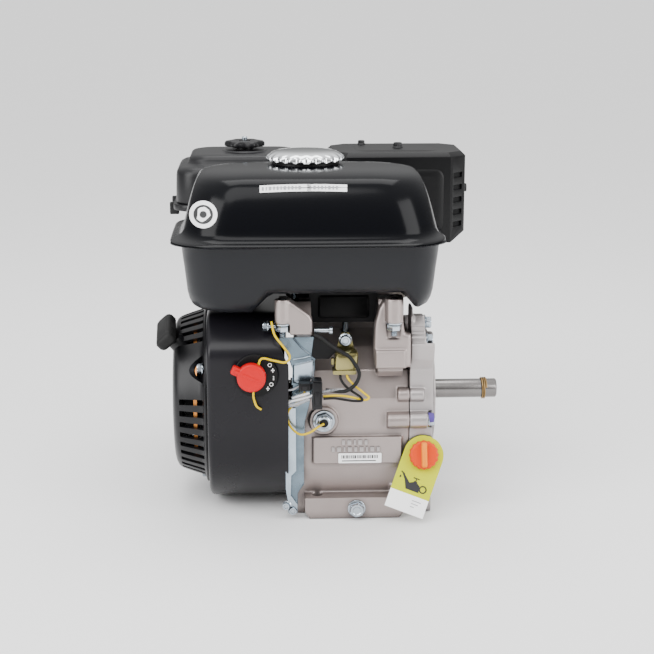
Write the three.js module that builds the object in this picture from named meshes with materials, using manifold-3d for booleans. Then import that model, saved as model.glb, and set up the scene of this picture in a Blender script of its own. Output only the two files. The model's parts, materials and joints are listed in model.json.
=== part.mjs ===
// A small four-stroke gasoline engine of the 200 cc class with a horizontal drive shaft.
// Millimetres. +X runs out along the drive shaft, +Y towards the cylinder head, +Z up.
// The origin is on the base plane, below the crankshaft and midway between the base holes.
import * as THREE from 'three';
import { mergeVertices } from 'three/addons/utils/BufferGeometryUtils.js';
import Module from 'manifold-3d';

const wasm = await Module();
wasm.setup();

// ---- Driving dimensions ----
const gap = 0.3; // clearance between touching pieces
const shaftHeight = 106; // crankshaft axis above the base plane
const shaftRadius = 9.525;
const journalRadius = 12.5;
const shaftEnd = 147;
const keyWidth = 4.76;
const driveFace = 79.2; // machined face round the drive shaft
const driveHoleCircle = 92.1;
const caseLeft = -58; // flywheel side wall of the crankcase
const caseRight = 51; // joint with the side cover
const coverFace = 74.5;
const bearingFrom = 57; // drive side bearing
const bearingWidth = 15;
const bearingTo = bearingFrom + bearingWidth;
const wall = 7;
const baseHoleX = 37.75;
const baseHoleFront = -75;
const baseHoleRear = 87;

const cylinderX = -4; // cylinder axis along the crankshaft
const cylinderTilt = 25; // degrees above horizontal
const boreRadius = 34;
const throwRadius = 27;
const rodLength = 84;
const deckHeight = 136.5; // crankshaft axis to the head joint
const headHeight = 45;
const pinHeight = throwRadius + rodLength;

const camY = 30;
const camZ = 54;
const crankTeeth = 20;
const camTeeth = 40;
const toothModule = 2;

const fanRadius = 104; // outside of the fan cover about the crankshaft
const fanCoverTop = 202;
const fanCoverRear = 112;
const fanCoverLeft = -143;
const fanCoverRight = -66;
const recoilBase = -143.4;
const recoilFace = -178;
const recoilBaseRadius = 84;
const recoilFaceRadius = 72;

const tankSeam = 276; // flange between the tank halves
const tankTop = 338;
const tankBottom = 209;
const saddleHeight = 226;
const capX = -47;
const capY = -22;
const capRadius = 36.5;

const guardTop = 335;
const guardBottom = 240;
const filterBase = 276;
const filterTop = 333;
const filterX = -107;
const filterY = 140;

// ---- Shape helpers ----
const radians = THREE.MathUtils.degToRad;

// A closed manifold solid from any closed geometry.
function solid(shape) {
  if (shape instanceof wasm.Manifold) return shape;
  const bare = shape.clone();
  bare.deleteAttribute('normal');
  bare.deleteAttribute('uv');
  const merged = mergeVertices(bare, 1e-3);
  const points = merged.attributes.position;
  const corners = [];
  let volume = 0;
  for (let i = 0; i < merged.index.count; i += 3) {
    const [a, b, c] = [0, 1, 2].map((k) => merged.index.getX(i + k));
    if (a === b || b === c || c === a) continue;
    corners.push(a, b, c);
    const [p, q, r] = [a, b, c].map((k) => new THREE.Vector3().fromBufferAttribute(points, k));
    volume += p.dot(q.cross(r));
  }
  if (volume < 0) corners.reverse();
  return new wasm.Manifold(new wasm.Mesh({
    numProp: 3,
    vertProperties: Float32Array.from(points.array),
    triVerts: Uint32Array.from(corners),
  }));
}

const join = (first, ...rest) => rest.reduce((sum, part) => sum.add(solid(part)), solid(first));
const cut = (first, ...rest) => rest.reduce((left, part) => left.subtract(solid(part)), solid(first));
const common = (first, second) => solid(first).intersect(solid(second));

function geometryOf(shape) {
  const mesh = solid(shape).getMesh();
  const result = new THREE.BufferGeometry();
  result.setAttribute('position', new THREE.BufferAttribute(mesh.vertProperties, 3));
  result.setIndex(new THREE.BufferAttribute(mesh.triVerts, 1));
  result.computeVertexNormals();
  return result;
}

function box(x0, x1, y0, y1, z0, z1) {
  const block = new THREE.BoxGeometry(x1 - x0, y1 - y0, z1 - z0);
  return block.translate((x0 + x1) / 2, (y0 + y1) / 2, (z0 + z1) / 2);
}

// Turns a geometry made along +Y so that it runs along the named axis.
function along(axis, geometry) {
  if (axis === 'x') geometry.rotateZ(-Math.PI / 2);
  if (axis === 'z') geometry.rotateX(Math.PI / 2);
  return geometry;
}

function place(axis, geometry, a, b) {
  if (axis === 'x') return geometry.translate(0, a, b);
  if (axis === 'y') return geometry.translate(a, 0, b);
  return geometry.translate(a, b, 0);
}

// A cylinder or cone along an axis; a and b are its other two coordinates.
function rod(axis, radius, from, to, a, b, sides = 16, endRadius = radius) {
  const cylinder = new THREE.CylinderGeometry(endRadius, radius, to - from, sides);
  cylinder.translate(0, (from + to) / 2, 0);
  return place(axis, along(axis, cylinder), a, b);
}

// A turned solid; profile holds [distance along the axis, radius] pairs.
function turned(axis, profile, a, b, sides = 28) {
  const points = profile.map(([distance, radius]) => new THREE.Vector2(radius, distance));
  return place(axis, along(axis, new THREE.LatheGeometry(points, sides)), a, b);
}

function ring(axis, outer, inner, from, to, a, b, sides = 24) {
  const section = [[from, inner], [from, outer], [to, outer], [to, inner], [from, inner]];
  return turned(axis, section, a, b, sides);
}

function outline(points) {
  return new THREE.Shape(points.map(([x, y]) => new THREE.Vector2(x, y)));
}

function roundedRectangle(x0, x1, y0, y1, radius) {
  const shape = new THREE.Shape();
  shape.absarc(x1 - radius, y1 - radius, radius, 0, Math.PI / 2);
  shape.absarc(x0 + radius, y1 - radius, radius, Math.PI / 2, Math.PI);
  shape.absarc(x0 + radius, y0 + radius, radius, Math.PI, Math.PI * 1.5);
  shape.absarc(x1 - radius, y0 + radius, radius, Math.PI * 1.5, Math.PI * 2);
  return shape;
}

// A prism: its outline lies across the axis, in (y, z) for x, (x, z) for y and (x, y) for z.
function prism(axis, shape, from, to, bevel = 0, curveSegments = 4) {
  const geometry = new THREE.ExtrudeGeometry(shape, {
    depth: to - from - 2 * bevel,
    bevelEnabled: bevel > 0,
    bevelThickness: bevel,
    bevelSize: bevel,
    bevelOffset: -bevel,
    bevelSegments: 2,
    curveSegments,
  });
  geometry.translate(0, 0, bevel);
  const turn = new THREE.Matrix4();
  const ex = new THREE.Vector3(1, 0, 0);
  const ey = new THREE.Vector3(0, 1, 0);
  const ez = new THREE.Vector3(0, 0, 1);
  if (axis === 'x') turn.makeBasis(ey, ez, ex);
  if (axis === 'y') turn.makeBasis(ex, ez, ey.negate());
  geometry.applyMatrix4(turn);
  if (axis === 'x') return geometry.translate(from, 0, 0);
  if (axis === 'y') return geometry.translate(0, to, 0);
  return geometry.translate(0, 0, from);
}

// A rounded block whose sides lean in as it rises, by the given amounts on X and Y at its top.
function leaningBlock(x0, x1, y0, y1, z0, z1, corner, bevel, leanX, leanY) {
  const block = prism('z', roundedRectangle(x0, x1, y0, y1, corner), z0 - bevel, z1, bevel, 2);
  const places = block.attributes.position;
  const [middleX, middleY] = [(x0 + x1) / 2, (y0 + y1) / 2];
  for (let i = 0; i < places.count; i += 1) {
    const rise = (places.getZ(i) - z0) / (z1 - z0);
    const x = middleX + (places.getX(i) - middleX) * (1 - (rise * 2 * leanX) / (x1 - x0));
    const y = middleY + (places.getY(i) - middleY) * (1 - (rise * 2 * leanY) / (y1 - y0));
    places.setXY(i, x, y);
  }
  return block;
}

// A round wire or hose through points.
function cable(points, radius, steps, sides = 8) {
  const section = outline(Array.from({ length: sides }, (_, k) => [
    radius * Math.cos((k * 2 * Math.PI) / sides),
    radius * Math.sin((k * 2 * Math.PI) / sides),
  ]));
  const path = new THREE.CatmullRomCurve3(points.map((p) => new THREE.Vector3(...p)));
  return new THREE.ExtrudeGeometry(section, { steps, extrudePath: path, curveSegments: 1 });
}

function aimed(geometry, direction, position) {
  const turn = new THREE.Quaternion().setFromUnitVectors(
    new THREE.Vector3(0, 0, 1), new THREE.Vector3(...direction).normalize());
  return geometry.applyQuaternion(turn).translate(...position);
}

// ---- Materials ----
const finishes = {
  casting: { color: 0xb9afac, roughness: 0.55, metalness: 0.7 },
  zinc: { color: 0xb8c4cc, roughness: 0.3, metalness: 0.9 },
  steel: { color: 0x9a9691, roughness: 0.3, metalness: 0.95 },
  chrome: { color: 0xe4e6e8, roughness: 0.1, metalness: 1 },
  blackPaint: { color: 0x121316, roughness: 0.25, metalness: 0.3 },
  satinBlack: { color: 0x26272b, roughness: 0.5, metalness: 0.2 },
  blackPlastic: { color: 0x1b1c1f, roughness: 0.6, metalness: 0 },
  iron: { color: 0x4a4745, roughness: 0.7, metalness: 0.6 },
  rubber: { color: 0x161616, roughness: 0.85, metalness: 0 },
  red: { color: 0xe5323f, roughness: 0.4, metalness: 0 },
  orange: { color: 0xf07a1c, roughness: 0.45, metalness: 0 },
  yellow: { color: 0xf0d018, roughness: 0.5, metalness: 0 },
  olive: { color: 0x8d8250, roughness: 0.4, metalness: 0.7 },
  foam: { color: 0x3a3a38, roughness: 0.95, metalness: 0 },
  tag: { color: 0xe2ea3a, roughness: 0.6, metalness: 0 },
};

const engine = new THREE.Group();
const cylinderGroup = new THREE.Group();
cylinderGroup.position.set(cylinderX, 0, shaftHeight);
cylinderGroup.rotation.x = radians(cylinderTilt - 90);
cylinderGroup.updateMatrix();
engine.add(cylinderGroup);

function add(name, shape, finish, parent = engine) {
  const mesh = new THREE.Mesh(geometryOf(shape), new THREE.MeshStandardMaterial(finishes[finish]));
  mesh.name = name;
  parent.add(mesh);
}

// A piece drawn in the cylinder's own frame, brought into the engine's frame.
const tilted = (geometry) => geometry.applyMatrix4(cylinderGroup.matrix);

// A hexagon-headed fastener with a washer face, its head pointing along the direction.
function hexBolt(position, direction, width, shank) {
  const head = new THREE.CylinderGeometry(width / 2, width / 2, width * 0.45, 6);
  head.rotateX(Math.PI / 2).translate(0, 0, width * 0.225 + 1);
  const washer = new THREE.CylinderGeometry(width * 0.62, width * 0.62, 1.4, 10);
  washer.rotateX(Math.PI / 2).translate(0, 0, 0.7 + gap);
  const stem = new THREE.CylinderGeometry(width * 0.26, width * 0.26, shank + 1, 6);
  stem.rotateX(Math.PI / 2).translate(0, 0, 1 - (shank + 1) / 2);
  return aimed(geometryOf(join(head, washer, stem)), direction, position);
}

// ---- Crankcase with its finned barrel ----
const caseOutline = outline([
  [-70, 0], [79, 0], [79, 60], [76, 89], [36, 176], [-16, 174],
  [-48, 163], [-68, 144], [-76, 118], [-76, 48], [-70, 22],
]);
const caseCavity = outline([
  [-63, 8], [73, 8], [73, 60], [69, 86], [31, 169], [-14, 167],
  [-44, 156], [-62, 140], [-69, 116], [-69, 50], [-63, 26],
]);

const finCount = 7;
const finPitch = 8.8;
const barrel = [rod('z', boreRadius + 9, 56, deckHeight, 0, 0, 20)];
for (let fin = 0; fin < finCount; fin += 1) {
  const height = 66 + fin * finPitch;
  barrel.push(box(-49, 49, -46, 46, height, height + 2.4));
}
barrel.push(box(-46, 46, -44, 44, 128, deckHeight));

const flangeBolts = [
  { y: -78, z: 96.4, radius: 8, left: 30, right: 69 },
  { y: -76, z: 175.5, radius: 9, left: 26, right: 66 },
  { y: -4, z: 176, radius: 8, left: 34, right: 66 },
  { y: 52, z: 146, radius: 8, left: 34, right: 70 },
  { y: 84, z: 40, radius: 8, left: 34, right: 70 },
  { y: -70, z: 22, radius: 8, left: 34, right: 70 },
];
const bosses = flangeBolts.map(({ y, z, radius, left }) => rod('x', radius, left, caseRight, y, z, 12));

// The two lugs that carry the front of the tank, each a round boss on a web.
const lugTop = 221;
const lugFloor = 198; // underside of the bosses, where the nuts sit
const studY = -96;
const leftStud = -71;
const rightStud = 34;
const leftLug = join(
  rod('z', 7.4, lugFloor, lugTop, leftStud, studY, 16),
  prism('y', outline([
    [-74, lugTop], [-66, lugTop], [-59, 216], [-46, 206.5], [-43, 201],
    [-43, 187], [-66, 187], [-66, 199], [-74, 199],
  ]), -101, -80, 2),
  prism('x', outline([[-98, 188], [-98, 205], [-84, 216], [-30, 172], [-46, 160]]), -58, -44),
);
const rightLug = join(
  rod('z', 8.6, lugFloor, lugTop, rightStud, studY, 16),
  prism('y', outline([
    [24, 217], [29, lugTop], [40, lugTop], [43, 200], [45, 186], [caseRight, 184],
    [caseRight, 152], [17, 152], [15.5, 174], [16.5, 195], [20, 209],
  ]), -92, -74, 3),
  prism('y', outline([[17, 152], [17, 170], [46, 170], [46, 152]]), -95, -80, 2),
  prism('x', outline([[-84, 147], [-76, 140], [-40, 150], [-30, 172], [-66, 218], [-84, 218]]), 20, 44),
);
const studHoles = [leftStud, rightStud].flatMap((x) => [
  rod('z', 4, 180, 230, x, studY, 12),
  rod('z', 7.8, 180, lugFloor, x, studY, 16),
]);

const foot = [
  prism('y', outline([[-46, 0], [42, 0], [46, 5], [46, 21], [-50, 21], [-50, 6]]), -87, -56),
  rod('z', 12, 0, 14, -baseHoleX, baseHoleRear, 16),
  rod('z', 12, 0, 14, baseHoleX, baseHoleRear, 16),
  box(-baseHoleX - 12, -baseHoleX + 12, 74, baseHoleRear, 0, 14),
  box(baseHoleX - 12, baseHoleX + 12, 74, baseHoleRear, 0, 14),
];
const footHoles = [-baseHoleX, baseHoleX].flatMap((x) => [baseHoleFront, baseHoleRear].map(
  (y) => rod('z', 5.2, -1, 23, x, y, 12)));

const oilSwitch = { x: -31.6, z: 97 };
const smallBoss = { y: -76, z: 121.5, radius: 6.6 };
add('crankcase', cut(
  join(
    prism('x', caseOutline, caseLeft, caseRight), ...barrel.map(tilted), ...bosses, ...foot,
    leftLug, rightLug,
    box(-42, 44, -79, -70, 54, 80),
    rod('x', smallBoss.radius, 40, caseRight, smallBoss.y, smallBoss.z, 12),
    rod('y', 14, -80, -70, oilSwitch.x, oilSwitch.z, 20),
  ),
  prism('x', caseCavity, caseLeft + 8, caseRight + 1),
  tilted(rod('z', boreRadius, 30, deckHeight + 1, 0, 0, 28)),
  rod('x', 26.6, caseLeft + 2, caseLeft + 9, 0, shaftHeight, 24),
  rod('x', 21, caseLeft - 1, caseLeft + 2.1, 0, shaftHeight, 24),
  rod('x', 8, caseLeft + 3, caseLeft + 9, camY, camZ, 16),
  rod('y', 7, -90, -60, oilSwitch.x, oilSwitch.z, 16),
  rod('z', 3 + gap, 150, 190, -8, -20, 12),
  rod('y', 4.2, -90, -50, 0, 10, 12),
  ...studHoles, ...footHoles,
), 'casting');

// ---- Side cover with the drive face and the oil filler ----
const coverOutline = outline([
  [-70, 0], [79, 0], [79, 60], [76, 89], [40, 168], [-16, 176], [-60, 180],
  [-80, 181], [-86, 172], [-82, 158], [-76, 146], [-76, 48], [-70, 22],
]);
const coverCavity = outline([
  [-62, 8], [72, 8], [72, 58], [67, 84], [35, 160], [-14, 166],
  [-44, 155], [-61, 138], [-68, 114], [-68, 50], [-62, 28],
]);
const coverLeft = caseRight + gap;
const fillerDirection = [0, -0.94, 0.342];
const fillerMouth = [65, -83, 62];
const driveHoles = [45, 135, 225, 315].map((angle) => rod('x', 3.4, driveFace - 16, driveFace + 1,
  (driveHoleCircle / 2) * Math.cos(radians(angle)),
  shaftHeight + (driveHoleCircle / 2) * Math.sin(radians(angle)), 8));
const coverBosses = flangeBolts.map(
  ({ y, z, radius, right }) => rod('x', radius, coverLeft, right, y, z, 12));
const shownBolts = flangeBolts.slice(0, 2);
const boltSeats = shownBolts.flatMap(({ y, z, right }) => [
  rod('x', 3.2, 48, right + 1, y, z, 8),
  rod('x', 8.2, right, 90, y, z, 12),
]);
const filler = (radius, length, start) => aimed(
  rod('z', radius, start, start + length, 0, 0, 20), fillerDirection, fillerMouth);
const upperLip = outline([[-50, 176], [-50, 206], [-72, 206], [-78, 199], [-78, 176]]);
const upperShoulder = outline([[-56, 176], [-56, 197], [-74, 199], [-80, 190], [-80, 176]]);

add('side_cover', cut(
  join(
    prism('x', coverOutline, coverLeft, coverFace),
    rod('x', 58, coverFace - 1, driveFace, 0, shaftHeight, 32),
    rod('x', smallBoss.radius, coverLeft, 65.5, smallBoss.y, smallBoss.z, 12),
    prism('x', upperLip, coverLeft, 54),
    prism('x', upperShoulder, coverLeft, 65),
    filler(13.5, 22, -22),
    ...coverBosses,
  ),
  prism('x', coverCavity, coverLeft - 1, coverFace - 6),
  rod('x', 26.6, bearingFrom - gap, bearingTo + gap, 0, shaftHeight, 24),
  rod('x', 21.6, bearingTo, driveFace + 1, 0, shaftHeight, 24),
  rod('x', 8, 65, 71.5, camY, camZ, 16),
  filler(9.4, 40, -36),
  box(67, 90, -56, 90, 168, 200),
  ...driveHoles,
  ...boltSeats,
), 'casting');

shownBolts.forEach(({ y, z, right }, index) => {
  add(`side_cover_bolt_${index + 1}`, hexBolt([right, y, z], [1, 0, 0], 11, 12), 'zinc');
});

add('drain_plug', hexBolt([0, -87, 10], [0, -1, 0], 13, 22), 'zinc');

// ---- Crank train ----
const webFrom = 9.5;
const webTo = 22.5;
const pinZ = (distance) => [
  distance * Math.cos(radians(cylinderTilt)), shaftHeight + distance * Math.sin(radians(cylinderTilt))];
const [crankPinY, crankPinZ] = pinZ(throwRadius);

function crankWeb(from, to) {
  const cheek = new THREE.Shape();
  cheek.absarc(0, 0, 41, Math.PI * 1.12, Math.PI * 1.88);
  cheek.lineTo(14, throwRadius - 2);
  cheek.absarc(0, throwRadius, 13.9, 0, Math.PI);
  cheek.lineTo(-14, throwRadius - 2);
  const web = prism('z', cheek, from, to, 0, 6);
  const turn = new THREE.Matrix4().makeBasis(
    new THREE.Vector3(0, Math.sin(radians(cylinderTilt)), -Math.cos(radians(cylinderTilt))),
    new THREE.Vector3(0, Math.cos(radians(cylinderTilt)), Math.sin(radians(cylinderTilt))),
    new THREE.Vector3(1, 0, 0));
  return web.applyMatrix4(turn).translate(cylinderX, 0, shaftHeight);
}

function gear(teeth, centreY, centreZ, bore, from, to) {
  const pitchRadius = (teeth * toothModule) / 2;
  const step = (2 * Math.PI) / teeth;
  const points = [];
  const phase = Math.atan2(camZ - shaftHeight, camY) + (teeth === camTeeth ? Math.PI + step / 2 : 0);
  for (let tooth = 0; tooth < teeth; tooth += 1) {
    const angle = phase + tooth * step;
    [[-0.25, -2.2], [-0.12, 1.5], [0.12, 1.5], [0.25, -2.2]].forEach(([turn, height]) => {
      const radius = pitchRadius + height;
      points.push([radius * Math.cos(angle + turn * step), radius * Math.sin(angle + turn * step)]);
    });
  }
  const disc = prism('x', outline(points), from, to).translate(0, centreY, centreZ);
  return cut(disc, rod('x', bore, from - 1, to + 1, centreY, centreZ, 24));
}

add('crankshaft', join(gear(crankTeeth, 0, shaftHeight, journalRadius - 1, 30, 38), cut(
  join(
    rod('x', journalRadius, caseLeft - 4, cylinderX - webFrom, 0, shaftHeight, 20),
    rod('x', 9.4, -114, caseLeft - 3, 0, shaftHeight, 20, 10.4),
    crankWeb(-webTo, -webFrom), crankWeb(webFrom, webTo),
    rod('x', 13.7, cylinderX - webFrom - 1, cylinderX + webFrom + 1, crankPinY, crankPinZ, 20),
    rod('x', journalRadius, cylinderX + webFrom, driveFace - gap, 0, shaftHeight, 20),
    rod('x', shaftRadius, driveFace - 1, shaftEnd - 1, 0, shaftHeight, 24),
    rod('x', shaftRadius, shaftEnd - 1, shaftEnd, 0, shaftHeight, 24, shaftRadius - 1),
  ),
  box(driveFace + 6, shaftEnd + 1, shaftRadius - 2.4, shaftRadius + 1,
    shaftHeight - keyWidth / 2, shaftHeight + keyWidth / 2),
  rod('x', 3.3, shaftEnd - 22, shaftEnd + 1, 0, shaftHeight, 12),
)), 'steel');

const lobe = (from, to, angle) => {
  const shape = new THREE.Shape();
  shape.absarc(0, 0, 9.5, Math.PI, 0, false);
  shape.absarc(0, 7.5, 4.5, 0, Math.PI);
  return prism('z', shape, from, to, 0, 5).rotateZ(radians(angle)).rotateX(Math.PI / 2)
    .rotateZ(Math.PI / 2).translate(0, camY, camZ);
};
add('camshaft', join(
  rod('x', 7.7, caseLeft + 3.5, 71, camY, camZ, 16),
  gear(camTeeth, camY, camZ, 5, 30, 38), rod('x', 12, 24, 38, camY, camZ, 20),
  lobe(-26, -18, 200), lobe(12, 20, 110),
), 'iron');

const bearing = (from) => ring('x', 26, journalRadius + gap, from, from + bearingWidth, 0, shaftHeight);
add('drive_bearing', bearing(bearingFrom), 'steel');
add('flywheel_bearing', bearing(caseLeft + 2 + gap), 'steel');
const sealTo = driveFace - 0.6;
add('drive_seal', ring('x', 21, journalRadius + gap, bearingTo + gap, sealTo, 0, shaftHeight), 'rubber');

const rodHalf = 8;
const conRod = cut(
  join(
    rod('x', 20, -rodHalf, rodHalf, 0, throwRadius, 20),
    rod('x', 13, -rodHalf, rodHalf, 0, pinHeight, 16),
    prism('x', outline([[-12, throwRadius], [12, throwRadius], [8, pinHeight], [-8, pinHeight]]), -4, 4),
  ),
  rod('x', 14.2, -rodHalf - 1, rodHalf + 1, 0, throwRadius, 20),
  rod('x', 9.4, -rodHalf - 1, rodHalf + 1, 0, pinHeight),
);
add('connecting_rod', conRod, 'casting', cylinderGroup);
add('piston_pin', rod('x', 9, -24, 24, 0, pinHeight), 'steel', cylinderGroup);

const pistonRadius = boreRadius - gap;
const skirtBottom = pinHeight - 14.5;
const crown = deckHeight - 1;
const pinBosses = common(
  join(
    box(-30, -10, -12, 12, skirtBottom + 2, crown - 5),
    box(10, 30, -12, 12, skirtBottom + 2, crown - 5),
  ),
  rod('z', 28.5, skirtBottom, crown, 0, 0, 28),
);
add('piston', cut(
  join(
    turned('z', [
      [skirtBottom, 28], [skirtBottom, pistonRadius], [crown, pistonRadius], [crown, 0],
      [crown - 6, 0], [crown - 6, 28], [skirtBottom, 28],
    ], 0, 0, 28),
    pinBosses,
  ),
  rod('x', 9.4, -24.5, 24.5, 0, pinHeight),
), 'casting', cylinderGroup);

// ---- Cylinder head, valves and head cover ----
const headBase = deckHeight + gap;
const headTop = headBase + headHeight;
const portHeight = headBase + 22;
const valveX = 15.5;

const plugDirection = [0, -0.72, 0.69];
const plugSeat = [0, -22, headBase + 16];
const plugPart = (geometry) => aimed(geometry, plugDirection, plugSeat);
const headFins = [12, 20, 28].map(
  (height) => box(-49, 49, -46, 46, headBase + height, headBase + height + 2.4));
const ports = [-1, 1].flatMap((side) => [
  rod('z', 11, headBase + 10, portHeight + 4, side * valveX, 0, 12),
  rod('x', 10, side > 0 ? valveX : -50, side > 0 ? 50 : -valveX, -6, portHeight, 12),
  rod('z', 3, portHeight, headTop + 1, side * valveX, 0, 8),
]);
add('cylinder_head', cut(
  join(
    box(-40, 40, -36, 36, headBase, headTop),
    box(-46, 46, -44, 44, headBase, headBase + 8),
    box(-44, 44, -40, 40, headTop - 7, headTop),
    rod('x', 15, -49, 49, -6, portHeight, 14),
    plugPart(rod('z', 12, -5, 4, 0, 0, 12)),
    ...headFins,
  ),
  rod('z', 30, headBase - 1, headBase + 11, 0, 0, 20),
  plugPart(rod('z', 6.6, -18, 6, 0, 0, 12)),
  plugPart(rod('z', 13, 4, 60, 0, 0, 12)),
  ...ports,
), 'casting', cylinderGroup);

const valve = (x) => join(
  turned('z', [
    [headBase + 7.4, 0], [headBase + 7.4, 13], [headBase + 9.4, 13],
    [headBase + 10.4, 9], [headBase + 14, 2.7], [headBase + 14, 0],
  ], x, 0, 12),
  rod('z', 2.7, headBase + 13, headTop + 10, x, 0, 8));
add('intake_valve', valve(-valveX), 'steel', cylinderGroup);
add('exhaust_valve', valve(valveX), 'steel', cylinderGroup);

const coverBase = headTop + gap;
add('head_cover', cut(
  join(prism('z', roundedRectangle(-40, 40, -36, 36, 12), coverBase, coverBase + 3, 0, 2),
    prism('z', roundedRectangle(-36, 36, -32, 32, 12), coverBase, coverBase + 31, 5, 2)),
  prism('z', roundedRectangle(-34, 34, -30, 30, 10), coverBase - 4, coverBase + 28.5, 4, 2),
), 'zinc', cylinderGroup);

add('spark_plug', plugPart(geometryOf(join(
  rod('z', 6, -16, 5, 0, 0, 12),
  rod('z', 10.4, 4 + gap, 14, 0, 0, 6),
  rod('z', 5, 13, 36, 0, 0, 12),
  rod('z', 3, 35, 42, 0, 0, 8),
))), 'steel', cylinderGroup);
add('spark_plug_cap', cut(
  join(plugPart(rod('z', 9.5, 18, 50, 0, 0, 16)), plugPart(rod('x', 6, -22, 0, 0, 43, 12))),
  plugPart(rod('z', 5 + gap, 17, 37, 0, 0, 12)), plugPart(rod('z', 3 + gap, 36, 43, 0, 0, 12)),
), 'rubber', cylinderGroup);

// ---- Ignition coil, beside the flywheel rim ----
const coilAngle = radians(25);
const coil = join(
  box(86, 112, -16, 16, -10, 10),
  box(83.5, 87, -16, -8, -8, 8),
  box(83.5, 87, 8, 16, -8, 8),
);
const coilTurn = new THREE.Matrix4().makeBasis(
  new THREE.Vector3(0, Math.cos(coilAngle), Math.sin(coilAngle)),
  new THREE.Vector3(0, -Math.sin(coilAngle), Math.cos(coilAngle)),
  new THREE.Vector3(1, 0, 0)).setPosition(-83, 0, shaftHeight);
add('ignition_coil', geometryOf(coil).applyMatrix4(coilTurn), 'blackPlastic');

// ---- Flywheel, cooling fan and starter cup ----
const wheelBack = -98;
const wheelBore = 10.8;
add('flywheel', turned('x', [
  [wheelBack, wheelBore], [wheelBack, 28], [-92, 40], [-92, 76], [wheelBack, 78],
  [wheelBack, 82], [-74, 82], [-74, 74], [-84, 70], [-84, 34], [-64, 26], [-64, wheelBore],
  [wheelBack, wheelBore],
], 0, shaftHeight, 32), 'iron');
const blades = Array.from({ length: 16 }, (_, index) => box(-116, -99.5, 46, 78, -1, 1)
  .rotateX(radians(index * 22.5)).translate(0, 0, shaftHeight));
const fanDisc = ring('x', 80, 42, -101, wheelBack - gap, 0, shaftHeight);
add('cooling_fan', join(fanDisc, ...blades), 'blackPlastic');
add('starter_cup', turned('x', [
  [wheelBack - gap, wheelBore], [-102, wheelBore], [-102, 35.6], [-126, 35.6], [-126, 38],
  [wheelBack - gap, 38], [wheelBack - gap, wheelBore],
], 0, shaftHeight, 24), 'zinc');
add('flywheel_nut', cut(rod('x', 14, -112, -102 - gap, 0, shaftHeight, 6),
  rod('x', 9.8, -113, -101, 0, shaftHeight, 16)), 'zinc');

// ---- Fan cover ----
// The scroll's outline in (y, z), drawn in from the outside by an inset.
function scroll(inset) {
  const shape = new THREE.Shape();
  const radius = fanRadius - inset;
  shape.absarc(0, shaftHeight, radius, Math.PI, radians(322));
  shape.lineTo(fanCoverRear - inset, 70 + inset / 2);
  shape.lineTo(fanCoverRear - inset, 184 - inset / 2);
  shape.lineTo(60, fanCoverTop - inset);
  shape.lineTo(-76 + inset * 0.4, fanCoverTop - inset);
  shape.lineTo(-radius, 174 - inset * 0.4);
  return shape;
}
const coverEnd = 5; // rounding of the cover's left end
const fanShell = (inset, left, right) => prism(
  'x', scroll(inset), left, right + coverEnd, coverEnd, 8);
const switchPlace = { x: -100.5, z: 151 };
const leadNotch = outline([
  [-60, 158], [-67, 162], [-72, 172], [-77, 186], [-78, 215], [-60, 215],
]);
add('fan_cover', cut(
  fanShell(0, fanCoverLeft, fanCoverRight),
  box(fanCoverRight, fanCoverRight + 20, -130, 140, -10, 230),
  fanShell(2, fanCoverLeft + 2, fanCoverRight + 4),
  rod('x', 72, fanCoverLeft - 1, fanCoverLeft + 4, 0, shaftHeight, 28),
  rod('y', 9, -110, -90, switchPlace.x, switchPlace.z, 16),
  prism('y', leadNotch, -120, -88),
), 'satinBlack');

// ---- Recoil starter ----
const slotPitch = 8.4;
const slotsPerSector = 10;
const starterBoltAngles = [30, 150, 270];
const slots = [];
for (const boltAngle of starterBoltAngles) {
  for (let index = 0; index < slotsPerSector; index += 1) {
    const angle = boltAngle + 60 + (index - (slotsPerSector - 1) / 2) * slotPitch;
    const slot = box(-171, -148, 60, 100, -2.7, 2.7);
    slots.push(slot.rotateX(radians(angle)).translate(0, 0, shaftHeight));
  }
}
const notches = starterBoltAngles.map((angle) => rod('x', 13, -190, -148, 84, 0, 10, 9)
  .rotateX(radians(angle)).translate(0, 0, shaftHeight));
const faceHoles = Array.from({ length: 8 }, (_, index) => box(-190, -170, 34, 58, -4, 4)
  .rotateX(radians(index * 45)).translate(0, 0, shaftHeight));
const guidePlace = [-174, -40, 168];
const pullDirection = [-0.68, -0.12, 0.72];
const guide = (radius, from, to) => aimed(
  rod('z', radius, from, to, 0, 0, 10), pullDirection, guidePlace);
add('recoil_cover', cut(
  join(
    turned('x', [
      [recoilBase, 81], [recoilBase, 90], [recoilBase - 2.5, 90],
      [recoilBase - 2.5, recoilBaseRadius], [recoilFace + 6, recoilFaceRadius + 2],
      [recoilFace, recoilFaceRadius - 6], [recoilFace, 0], [recoilFace + 2.5, 0],
      [recoilFace + 2.5, recoilFaceRadius - 8], [recoilFace + 8, recoilFaceRadius - 1],
      [recoilBase, 81],
    ], 0, shaftHeight, 40),
    rod('x', 8, recoilFace + 1, recoilFace + 22, 0, shaftHeight, 12),
    guide(8, -6, 3),
  ),
  guide(3.6, -20, 10),
  ...slots, ...notches, ...faceHoles,
), 'blackPlastic');

const hub = 8 + gap;
add('starter_reel', turned('x', [
  [-172, hub], [-172, 56], [-169, 56], [-167, 44], [-159, 44], [-157, 56],
  [-154, 56], [-154, 30], [-150, 28], [-150, hub], [-172, hub],
], 0, shaftHeight, 24), 'blackPlastic');

const grip = join(
  prism('z', roundedRectangle(-9.5, 9.5, -30, 30, 5), 7, 20, 3, 2),
  rod('z', 8, 3 + gap, 9, 0, 0, 10));
const gripSolid = cut(grip, rod('z', 3.5, 3, 18, 0, 0, 8));
add('starter_grip', aimed(geometryOf(gripSolid), pullDirection, guidePlace), 'rubber');
add('starter_rope', aimed(rod('z', 2.4, -14, 17, 0, 0, 8), pullDirection, guidePlace), 'rubber');

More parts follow.
